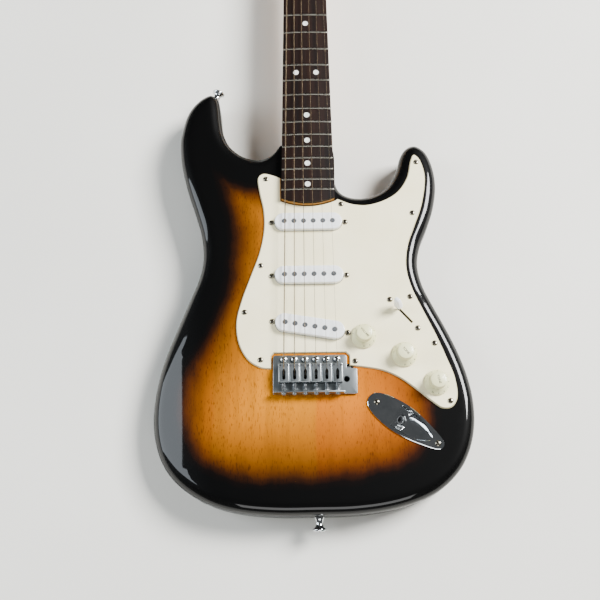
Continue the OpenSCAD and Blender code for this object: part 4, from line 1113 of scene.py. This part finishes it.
# ---------- bridge ----------
def bridge_plate():
    outline = np.array([(-37, -24.7), (-36.6, -24.9), (45.2, -24.9), (45.8, -24.4), (45.8, -0.6),
                        (44.6, 0.7),
                        (36.6, 0.7), (35.8, 1.6), (35.8, 12.6), (34.4, 14.3), (-35.6, 14.3), (-37, 12.6)])
    holes = [circle(string_x(i), PIVOT_Y, 2.5) for i in range(6)]
    holes += [rounded(3.2, 6, 1.5, 4, string_x(i), HOLE_Y) for i in range(6)]
    holes += [circle(*p, 1.9) for p in BLOCK_SCREW_XY] + [circle(*ARM_XY, 3.1)]
    base = plate(outline, rim(PLATE_Z0, PLATE_Z1, 0.1, 0.35), holes)
    flange = cuboid(-36.4, -24.88, PLATE_Z1 - 0.05, 33, -23.1, PLATE_Z0 + 9.5)
    bores = [shift(string_x(i), -26, PLATE_Z1 + 4) @ turn(-90, "X") for i in range(6)]
    flange = cut(bevelled(flange, 0.4), repeated(rod(0, 0, -1, 4, 1.65), bores))
    make("tremolo_plate", joined([base, flange]), SATIN, "tremolo", ["bridge_plate"])


def saddle(i):
    x = string_x(i)
    drop = crown_drop(x)
    y0, y1 = SADDLE_Y
    blank = bevelled(cuboid(x - 5.1, y0, PLATE_Z1 + 1.2, x + 5.1, y1, SADDLE_Z1), 0.7, 3)
    slot = np.array([(-1.55, y0 + 4), (-1.1, y0 + 2.9), (0, y0 + 2.4), (1.1, y0 + 2.9), (1.55, y0 + 4),
                     (1.6, y0 + 10.6),
                     (0.9, y0 + 12.6), (0, y0 + 13.7), (-0.9, y0 + 12.6), (-1.6, y0 + 10.6)]) + (x, 0)
    groove = cuboid(x - STRING_D[i] / 2 - 0.2, 0.2, SADDLE_Z1 - 0.5 - drop, x + STRING_D[i] / 2 + 0.2, 7,
                    SADDLE_Z1 + 2)
    pockets = joined([rod(x + s * 3.5, 1.9, PLATE_Z1, SADDLE_Z1 + 1, 1.15, 20) for s in (-1, 1)])
    bore = rod(0, 0, -1, 3.2, 1.5, 16).moved(shift(x, y0, PLATE_Z1 + 4) @ turn(-90, "X"))
    return cut(blank, prism(slot, PLATE_Z1, SADDLE_Z1 + 2), cuboid(x - 3.6, y0 + 2, PLATE_Z1, x + 3.6,
                                                                   y0 + 10.6,
                                                                  PLATE_Z1 + 4.6), groove, pockets, bore)


def bridge():
    bridge_plate()
    make("saddle_set", joined([saddle(i) for i in range(6)]), SATIN, "tremolo", ["saddles"], 30)
    grub, bolt, coil = [], [], []
    for i in range(6):
        x, drop = string_x(i), crown_drop(string_x(i))
        top = 10 - drop
        body_of = lathe([(0, 0), (0.8, 0), (1.1, 0.4), (1.1, top - 0.15), (0.95, top), (0, top)], 24)
        key = rod(0, 0, top - 2, top + 1, 0.65, 6)
        for s in (-1, 1):
            grub.append(cut(body_of, key).moved(shift(x + s * 3.5, 1.9, PLATE_Z1 + 0.03)))
        threads = [(1.35 - 0.2 * (k % 2), 2 + k * 0.35) for k in range(28)]
        head = lathe([(0, -1.9), (1.9, -1.9), (2.55, -0.6), (2.6, -0.1), (2.5, 0), (1.4, 0.05), *threads,
                      (0, 12.3)], 28)
        head = crossed(head, cuboid(-1.4, -0.28, -2.5, 1.4, 0.28, -1.2))
        facing = shift(x, -24.95, PLATE_Z1 + 4) @ turn(-90, "X") @ turn(20 * i)
        bolt.append(head.moved(facing))
        coil.append(tube(helix(2.05, 2.3, 9.7, 5.5, 14), 0.33, 7).moved(facing))
    make("height_screw_set", joined(grub), STEEL, "tremolo", ["saddle_height_screws"])
    make("intonation_screw_set", joined(bolt), SATIN, "tremolo", ["intonation_screws"])
    make("intonation_coil_set", joined(coil), STEEL, "tremolo", ["intonation_springs"])
    places = [shift(string_x(i), PIVOT_Y, PLATE_Z1 + 1) @ turn(15 + 50 * i) for i in range(6)]
    pivots = repeated(cross_screw(1.5, 26.9, 3.4, 2.1), places)
    make("pivot_screw_set", pivots, CHROME, "guitar", ["pivot_screws"])


# ---------- back of the body ----------
def back_cover():
    outer = rounded(2 * COVER_HALF, COVER_Y[1] - COVER_Y[0], 9, 8, 0, sum(COVER_Y) / 2)
    holes = [circle(string_x(i), HOLE_Y, 4) for i in range(6)] + [circle(*p, 1.45, 16)
                                                                  for p in COVER_SCREWS]
    sheet = plate(outer, rim(0, span("back_cover")[1].z, 0.5, 0.1), holes)
    make("tremolo_cover", sheet, CREAM, "guitar", ["back_cover"], 25)
    head = [(2.5 * math.cos(t), 0.1 - 0.09 * math.sin(t)) for t in np.linspace(math.pi / 2, 0, 5)]
    screw = crossed(lathe([*head, (1.25, 0.6), (1.25, 12), (0, 13)], 24),
                    cuboid(-1.3, -0.25, -0.3, 1.3, 0.25, 0.5))
    places = [shift(*p) @ turn(13 * p[1]) for p in COVER_SCREWS]
    make("cover_screw_set", repeated(screw, places), NICKEL, "guitar", ["back_cover_screws"])


def neck_plate():
    outer = rounded(51, 64, 4, 8, 0, NECK_PLATE_Y)
    sheet = plate(outer, rim(0.5, 1.98, 0.45, 0.05), [circle(*p, 2.4) for p in NECK_SCREWS])
    make("neck_plate_sheet", sheet, CHROME, "guitar", ["neck_plate"], 30)
    head = [(4.3 * math.sin(t), 0.48 - 0.46 * math.cos(t)) for t in np.linspace(0, math.pi / 2, 7)]
    threads = [(1.7 - 0.3 * (k % 2), 29 + 0.6 * k) for k in range(24)]
    screw = lathe([*head, (2.3, 0.5), (2.3, 28), *threads, (0, 45.4)], 28)
    screw = crossed(screw, cuboid(-2.4, -0.42, -1, 2.4, 0.42, 1.6))
    places = [shift(*p) @ turn(20 + 3 * p[0]) for p in NECK_SCREWS]
    make("neck_screw_set", repeated(screw, places), CHROME, "guitar", ["neck_screws"])


def claw_and_springs():
    places = [shift(x, CLAW_Y - 0.03, SPRING_Z) @ turn(90, "X") for x in (-16, 16)]
    make("claw_screw_set", repeated(cross_screw(1.5, 44.5, 3.2, 2.4), places), NICKEL, "guitar",
         ["claw_screws"])
    sheet = bevelled(cuboid(-26, CLAW_Y, 5, 26, CLAW_Y + 1.6, 15), 0.4)
    hooks = [bevelled(cuboid(x - 1.4, CLAW_Y - 4, 11.2, x + 1.4, CLAW_Y + 0.1, 12.7), 0.3)
             for x in SPRING_X]
    bores = [rod(0, 0, -1, 3, 1.7, 16).moved(shift(x, CLAW_Y, SPRING_Z) @ turn(-90, "X"))
             for x in (-16, 16)]
    make("claw_sheet", cut(joined([sheet, *hooks]), *bores), STEEL, "guitar", ["spring_claw"])
    springs = []
    for x in SPRING_X:
        hook = [(x, 0.5, BLOCK_Z0 + 4.5), (x, 0.5, BLOCK_Z0 + 0.4), (x, 1.1, BLOCK_Z0 - 0.9),
                (x, 2.4, BLOCK_Z0 - 1.3),
                (x, 5.5, BLOCK_Z0 - 0.6), (x, 8.2, SPRING_Z - 1.6)]
        turns = helix(3.3, 8.6, 79.4, 46, 14)
        coil = np.stack([x + turns[:, 0], turns[:, 2], SPRING_Z - turns[:, 1]], 1)
        end = [(x, 80.6, SPRING_Z), (x, 86, SPRING_Z + 0.4), (x, 92, 12), (x, 94.4, 13.6), (x, 95, 13.7)]
        springs += [tube(curve(hook, 5), 0.65, 8), tube(coil, 0.62, 7), tube(curve(end, 5), 0.65, 8)]
    piece = make("spring_set", joined(springs), STEEL, None, ["tremolo_springs"])
    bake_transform(piece)


def strap_buttons():
    button = lathe([(1.75, 0), (5.1, 0), (5.3, 0.3), (5.2, 1.3), (4.3, 2.6), (3.8, 4.4), (3.7, 6.4),
                    (3.9, 8.4),
                    (4.9, 9.8), (6.6, 11), (7, 11.8), (6.9, 12.5), (6.3, 13.2), (5, 13.5), (4.1, 13.5),
                    (1.75, 11.6)],
                   44, hollow=True)
    threads = [(1.65 - 0.35 * (k % 2), -17 + 0.7 * k) for k in range(24)]
    screw = lathe([(0, -18), *threads, (1.65, 11.6), (3.75, 13.1), (3.3, 13.3), (1.8, 13.44), (0, 13.46)],
                  30)
    whole = joined([button, crossed(screw, cuboid(-2.2, -0.36, 12.7, 2.2, 0.36, 15))])
    places = [place @ shift(0, 0, 0.02) for place in (at_end_button(), at_horn_button())]
    make("strap_button_pair", repeated(whole, places), CHROME, "guitar", ["strap_buttons"])


# ---------- neck ----------
def neck():
    depth = BOARD_Z0 - HEAD_Z0

    def ring(y, half, top, deep, power):
        t = np.linspace(0, math.pi, 25)
        c, s = np.cos(t), np.sin(t)
        x = half * np.sign(c) * np.abs(c) ** (1 / power)
        return np.column_stack([x, np.full(25, y), top - deep * np.abs(s) ** (1 / power)])

    sections = [(258, 20.4, 4), (262, 20.3, 3.4), (266, 20, 3), (271, 19.3, 2.3), (276, 18.7, 1.7),
                (287, 18.2, 1.35),
                (300, 17.9, 1.15), (350, 17.6, 1.12), (400, 17.4, 1.1), (460, 17.0, 1.1), (520, 16.7, 1.1),
                (575, 16.4, 1.1), (628, 16.2, 1.1), (640, 16.15, 1.12), (650, 16.2, 1.15), (654, 16.6, 1.3)]
    shaft = loft([ring(y, board_half(y) - 0.02, BOARD_Z0, deep, power) for y, deep, power in sections])
    turn_in = [(653.9, 0, 16.6, 1.3), (656, 1.1, 16.9, 1.45), (658, 2.3, 17.4, 1.7), (661, 3.4, 17.9, 2.0),
               (664, 4.4, 18.6, 2.5), (668, 5.1, 19.5, 3.5), (672, 5.6, depth - 0.1, 5)]
    throat = loft([ring(y, 21, BOARD_Z0 - down, low - down, power) for y, down, low, power in turn_in])
    heel = prism(heel_plan(-0.1, 260), POCKET_Z + 0.05, BOARD_Z0)
    head_outline = curve(HEAD_KNOTS, 6)
    walls = rim(HEAD_Z0, HEAD_Z1, 1.0, 1.0)
    head = loft(levels(head_outline, walls))
    solid = combined("UNION", shaft, throat, heel, head)
    bores = [rod(*p, POCKET_Z - 1, POCKET_Z + 17, 1.75, 14) for p in NECK_SCREWS]
    bores += [rod(*post_xy(i), HEAD_Z0 - 1, HEAD_Z1 + 1, 4.6) for i in range(6)]
    bores += [rod(EAR_SCREW_X, 0, -1, 9, 1.05, 12).moved(at_tuner(i)) for i in range(6)]
    bores += [rod(x, y, HEAD_Z1 - 9, HEAD_Z1 + 1, 1.25, 12) for x, y in TREES]
    channel = rod(0, 0, 0, 490, 3.1, 20).moved(shift(0, 192, 42) @ turn(-90, "X"))
    make("neck_wood", cut(solid, joined(bores), channel), MAPLE, "guitar", ["neck"], 35)


def fret(n):
    """A crown and its tang, following the board, with ends filed over."""
    half = board_half(fret_y(n)) - 0.3
    section = [(-0.22, -1.6), (0.22, -1.6), (0.22, 0.02), (1.05, 0.05), (0.95, 0.5), (0.65, 0.85),
               (0.25, 1.07),
               (-0.25, 1.07), (-0.65, 0.85), (-0.95, 0.5), (-1.05, 0.05), (-0.22, 0.02)]
    rings = []
    for x in np.concatenate([[-half, -half + 0.35, -half + 0.8], np.linspace(-half + 3, half - 3, 9),
                             [half - 0.8, half - 0.35, half]]):
        near = min(1.0, (half - abs(x)) / 0.8)
        height = 0.45 + 0.55 * math.sqrt(max(0.0, 1 - (1 - near) ** 2))
        drop = crown_drop(x)
        rings.append([(x, fret_y(n) + y, BOARD_Z1 - drop + (z * height if z > 0.1 else z))
                      for y, z in section])
    return loft(rings)


def fret_board():
    make("fret_set", joined([fret(n) for n in range(1, FRETS + 1)]), FRET_WIRE, "guitar", ["frets"], 50)
    disc = lathe([(0, -1.95), (2.98, -1.95), (2.98, 0), (0, 0)], 32)
    spots = [(x, (fret_y(n) + fret_y(n - 1)) / 2) for n, x in DOTS]
    discs = []
    for x, y in spots:
        item = disc.moved(shift(x, y, BOARD_Z1))
        item.points[:, 2] -= np.where(item.points[:, 2] > BOARD_Z1 - 1,
                                      [crown_drop(p) for p in item.points[:, 0]], 0)
        discs.append(item)
    make("dot_set", joined(discs), PEARL, "guitar", ["position_dots"])
    blank = bevelled(cuboid(-NUT_WIDTH / 2, SCALE + 0.02, BOARD_Z0 + 0.02, NUT_WIDTH / 2, SCALE + 3.22,
                            span("nut")[1].z), 0.5, 3)
    grooves = []
    for i in range(6):
        z = NUT_STRING_Z - crown_drop(nut_x(i))
        r = STRING_D[i] / 2 + 0.06
        grooves.append(rod(0, 0, -1, 6, r, 14).moved(shift(nut_x(i), SCALE, z) @ turn(-90, "X")))
        grooves.append(cuboid(nut_x(i) - r, SCALE - 1, z, nut_x(i) + r, SCALE + 6, z + 4))
    make("nut_blank", cut(blank, *grooves), BONE, "guitar", ["nut"])


# ---------- headstock ----------
def string_trees():
    bar = [(-6.1, 5.25), (-5.2, 5.2), (5.2, 5.2), (6.1, 5.25), (6.2, 5.9), (5.4, 6.5), (2.8, 6.6),
           (-2.8, 6.6),
           (-5.4, 6.5), (-6.2, 5.9)]
    wing = loft([[(x, y, z) for x, z in bar] for y in (2.5, -2.5)])
    wing = bevelled(wing, 0.25)
    post = lathe([(1.3, 0), (2.6, 0), (2.6, 5.3), (1.3, 5.3)], 28, hollow=True)
    bore = rod(0, 0, 4, 8, 1.3, 20)
    clip = joined([post, cut(wing, bore)])
    clips = repeated(clip, [shift(x, y, HEAD_Z1 + 0.02) for x, y in TREES])
    make("string_tree_pair", clips, CHROME, "guitar", ["string_trees"])
    on_trees = repeated(cross_screw(1.15, 14.8, 2.25, 1.15), [shift(x, y, HEAD_Z1 + 6.65)
                                                              for x, y in TREES])
    ears = [at_tuner(i) @ shift(EAR_SCREW_X, 0, -1.63) @ turn(180, "X") for i in range(6)]
    screws = joined([on_trees, repeated(cross_screw(0.95, 8.9, 1.85, 1.05), ears)])
    make("headstock_screw_set", screws, NICKEL, "guitar", ["headstock_screws"])


def tuner_case():
    """A closed housing with an ear for its screw, hollow for the gear and the worm."""
    case = bevelled(cuboid(-7.2, -10.8, -13, 11, 7.2, -0.05), 1.6, 4)
    ear = bevelled(cuboid(-13.6, -2.6, -1.6, -5, 2.6, -0.05), 0.5)
    sideways = [shift(x, -KEY_OFFSET, KEY_Z - HEAD_Z0) @ turn(90, "Y") for x in (-6, 8)]
    hollows = [
        rod(0, 0, -11, -2, 5.4), rod(0, 0, -3, 2, 3.06),
        rod(0, 0, 0, 15.6, 2.7, 20).moved(sideways[0]), rod(0, 0, 0, 6, 1.96, 20).moved(sideways[1]),
        rod(EAR_SCREW_X, 0, -3, 3, 1.1, 16)]
    return cut(combined("UNION", case, ear), *hollows)


def tuner_bushing():
    """The threaded collar, its washer and its nut."""
    collar = [(3.06, -13), (4.5, -13), (4.5, 0.02), (6.9, 0.02), (7, 0.3), (6.6, 1.02), (3.06, 1.02)]
    nut = cut(hexagon([(5.4, 1), (5.4, 2.6), (4.9, 3)]), rod(0, 0, 0, 4, 3.06, 32))
    return joined([lathe(collar, 40, hollow=True), nut])


def tuner_post():
    """The waisted post with its eye and its gear; z = 0 is the back of the headstock."""
    height = HEAD_Z1 - HEAD_Z0
    waist = [(3, 5), (2.6, 5.8), (2.5, 7), (2.5, 12), (2.6, 12.6), (3, 13.2), (3, 15.6), (2.6, 16), (0, 16)]
    stem = lathe([(0, -10.6), (2.7, -10.6), (3, -10.3), *((r, height + z) for r, z in waist)], 36)
    eye = rod(0, 0, -6, 6, 0.9, 16).moved(shift(0, 0, height + 11.4) @ turn(90, "Y"))
    gear = lathe([(2.9, -9), (4.5, -9), (4.5, -4), (2.9, -4)], 56, hollow=True, ribs=(-20, 14, 0.7))
    return joined([cut(stem, eye), gear])


def tuner_key():
    """The worm, its shaft and the paddle, along +X."""
    worm = [(2.2 - 0.35 * (k % 2), -4 + 0.6 * k) for k in range(18)]
    outside = [(1.9, 7.2), (1.9, 15.5), (2.6, 15.5), (3.1, 16.2), (3.4, 18), (3.2, 18.5), (1.9, 18.7),
               (1.7, 22), (1.7, 26), (0, 26)]
    shaft = lathe([(0, -5), (1.9, -5), (1.9, -4), *worm, *outside], 28)
    outline = stadium(18, 14.4, 16)
    round_off = [(3.2, -2.6), (1.6, -3.1), (0.7, -2.9), (0.15, -2.2), (0, -1), (0, 1), (0.15, 2.2),
                 (0.7, 2.9), (1.6, 3.1), (3.2, 2.6), (5, 2.4)]
    paddle = loft(levels(outline, round_off)).moved(shift(25, 0, 0) @ turn(90))
    return joined([shaft.moved(turn(90, "Y")), paddle])


def tuners():
    cases = repeated(tuner_case(), [at_tuner(i) for i in range(6)])
    make("tuner_case_set", cases, CHROME, "guitar", ["tuner_housings"])
    bushings = repeated(tuner_bushing(), [shift(*post_xy(i), HEAD_Z1) for i in range(6)])
    make("bushing_set", bushings, CHROME, "guitar", ["tuner_bushings"])
    post, key = tuner_post(), tuner_key()
    for i in range(6):
        name = f"tuner_{i + 1}"
        stem = post.moved(shift(*post_xy(i), HEAD_Z0))
        make(name + "_capstan", stem, CHROME, name + "_post", [f"tuner_post_{i + 1}"])
        button = key.moved(at_tuner(i) @ shift(0, -KEY_OFFSET, KEY_Z - HEAD_Z0))
        make(name + "_button", button, CHROME, name + "_key", [f"tuner_key_{i + 1}"], 40)


# ---------- strings ----------
def string_end(i):
    """The ball, and the string up through the block and over the saddle."""
    x = string_x(i)
    z = SADDLE_STRING_Z - crown_drop(x)
    path = [(x, HOLE_Y, BLOCK_Z0 + 9), (x, HOLE_Y, PLATE_Z1 + 1), (x, HOLE_Y + 0.3, PLATE_Z1 + 2.6),
            (x, HOLE_Y + 1.3, PLATE_Z1 + 4.2), (x, HOLE_Y + 3, PLATE_Z1 + 5.8), (x, -1.6, z - 0.9),
            (x, -0.6, z - 0.2), (x, 0.6, z), (x, 2, z + 0.01)]
    ball = [(0.6, 0), (1.7, 0), (2, 0.4), (1.5, 1.85), (2, 3.3), (1.7, 3.7), (0.6, 3.7)]
    ball = lathe(ball, 24, hollow=True).moved(shift(x, HOLE_Y, BLOCK_Z0 + 6.2))
    return joined([tube(path, STRING_D[i] / 2, 12), ball])


def wrap_radius(i):
    return POST_R + STRING_D[i] / 2 + 0.06


def string_run(i):
    """The string from its saddle over the nut, under its tree if it has one, to its post."""
    x, nut, d = string_x(i), nut_x(i), STRING_D[i]
    z, nut_z = SADDLE_STRING_Z - crown_drop(x), NUT_STRING_Z - crown_drop(nut)
    px, py = post_xy(i)
    path = [(x, 2, z + 0.01)] + [(x + (nut - x) * t, 2 + (SCALE - 2) * t, z + (nut_z - z) * t)
                                 for t in np.linspace(0.02, 1, 50)]
    path.append((nut, SCALE + 3.2, nut_z - 0.1))
    if i > 1:
        tree_y = TREES[1 if i < 4 else 0][1]
        share = (tree_y - SCALE) / (py - SCALE)
        path.append((nut + (px + POST_R - nut) * share, tree_y, HEAD_Z1 + 5.1 - d / 2))
    path.append((px + wrap_radius(i), py - 2, WIND_Z))
    return tube(path, d / 2, 12)


def string_wraps(i):
    """Three turns down the post."""
    px, py = post_xy(i)
    r = wrap_radius(i)
    a = np.linspace(0, 6 * math.pi, 73)
    z = WIND_Z - STRING_D[i] * 1.02 * a / (2 * math.pi)
    wound = np.stack([px + r * np.cos(a), py + r * np.sin(a), z], 1)
    return tube(np.concatenate([[(px + r, py - 2, WIND_Z)], wound]), STRING_D[i] / 2, 8)


def strings():
    run = make("string_runs", joined([string_run(i) for i in range(6)]), STRING_STEEL, None, ["strings"])
    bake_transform(run)
    make("string_ends", joined([string_end(i) for i in range(6)]), STRING_STEEL, "tremolo")
    for i in range(6):
        make(f"string_{i + 1}_wraps", string_wraps(i), STRING_STEEL, f"tuner_{i + 1}_post")


# ---------- hidden CAD nodes that keep their own shape ----------
def dress_hidden():
    looks = {"fretboard": ROSEWOOD, "truss_rod": STEEL, "sustain_block": CAST, "block_screws": STEEL,
             "pickup_bobbins": FIBRE, "pickup_coils": COPPER, "potentiometers": STEEL, "wiring": CLOTH,
             "switch_frame": STEEL}
    for node, look in looks.items():
        dress(bpy.data.objects[node], look)


body()
guard_screws()
pickguard()
pickups()
knobs()
switch()
jack()
bridge()
back_cover()
neck_plate()
claw_and_springs()
strap_buttons()
neck()
fret_board()
string_trees()
tuners()
strings()
dress_hidden()


# ---------- camera, floor and light ----------
def camera():
    data = bpy.data.cameras.new("camera")
    data.lens = 52.8
    item = bpy.data.objects.new("camera", data)
    item.location = (-0.0084, -0.2090, 0.8941)
    item.rotation_euler = [math.radians(a) for a in (18.397, 0.298, -0.652)]
    data.clip_start = 0.01
    bpy.context.scene.collection.objects.link(item)
    bpy.context.scene.camera = item


def floor():
    mesh = bpy.data.meshes.new("floor")
    mesh.from_pydata([(x * 4, y * 4, -0.0003) for x, y in ((-1, -1), (1, -1), (1, 1), (-1, 1))], [],
                     [(0, 1, 2, 3)])
    item = bpy.data.objects.new("floor", mesh)
    bpy.context.scene.collection.objects.link(item)
    look = Look("floor_paint", "#e2e0d8", 0.75, specular=0.2)
    look.vary("#e6e4dc", "#dedcd4", 2.5)
    look.bump(look.noise(60, 3), 0.03, 0.001)
    # Seen from below, the floor lets the back of the guitar show
    clear = look.add("BsdfTransparent")
    mixed = look.add("MixShader", _0=look.add("NewGeometry", 6), _1=look.shader.outputs[0], _2=clear)
    look.tree.links.new(mixed, look.tree.nodes["Material Output"].inputs[0])
    mesh.materials.append(look.material)


def panel(name, place, target, size, power, colour="#ffffff"):
    data = bpy.data.lights.new(name, "AREA")
    data.shape = "RECTANGLE"
    data.size, data.size_y = size
    data.energy = power
    data.color = rgb(colour)[:3]
    item = bpy.data.objects.new(name, data)
    item.location = place
    item.rotation_euler = (Vector(target) - Vector(place)).to_track_quat("-Z", "Y").to_euler()
    bpy.context.scene.collection.objects.link(item)


def lights():
    world = bpy.data.worlds.new("room")
    world.use_nodes = True
    world.node_tree.nodes["Background"].inputs[0].default_value = rgb("#e9ecef")
    world.node_tree.nodes["Background"].inputs[1].default_value = 0.13
    bpy.context.scene.world = world
    panel("key", (1.9, 1.0, 2.0), (0, 0.1, 0), (1.1, 1.1), 300)
    panel("side", (-1.9, 0.2, 1.1), (0, 0.1, 0), (1.0, 2.0), 60, "#e3ecf4")
    panel("low", (0.2, -2.2, 1.6), (0, 0.1, 0), (2.0, 1.0), 36)


camera()
floor()
lights()
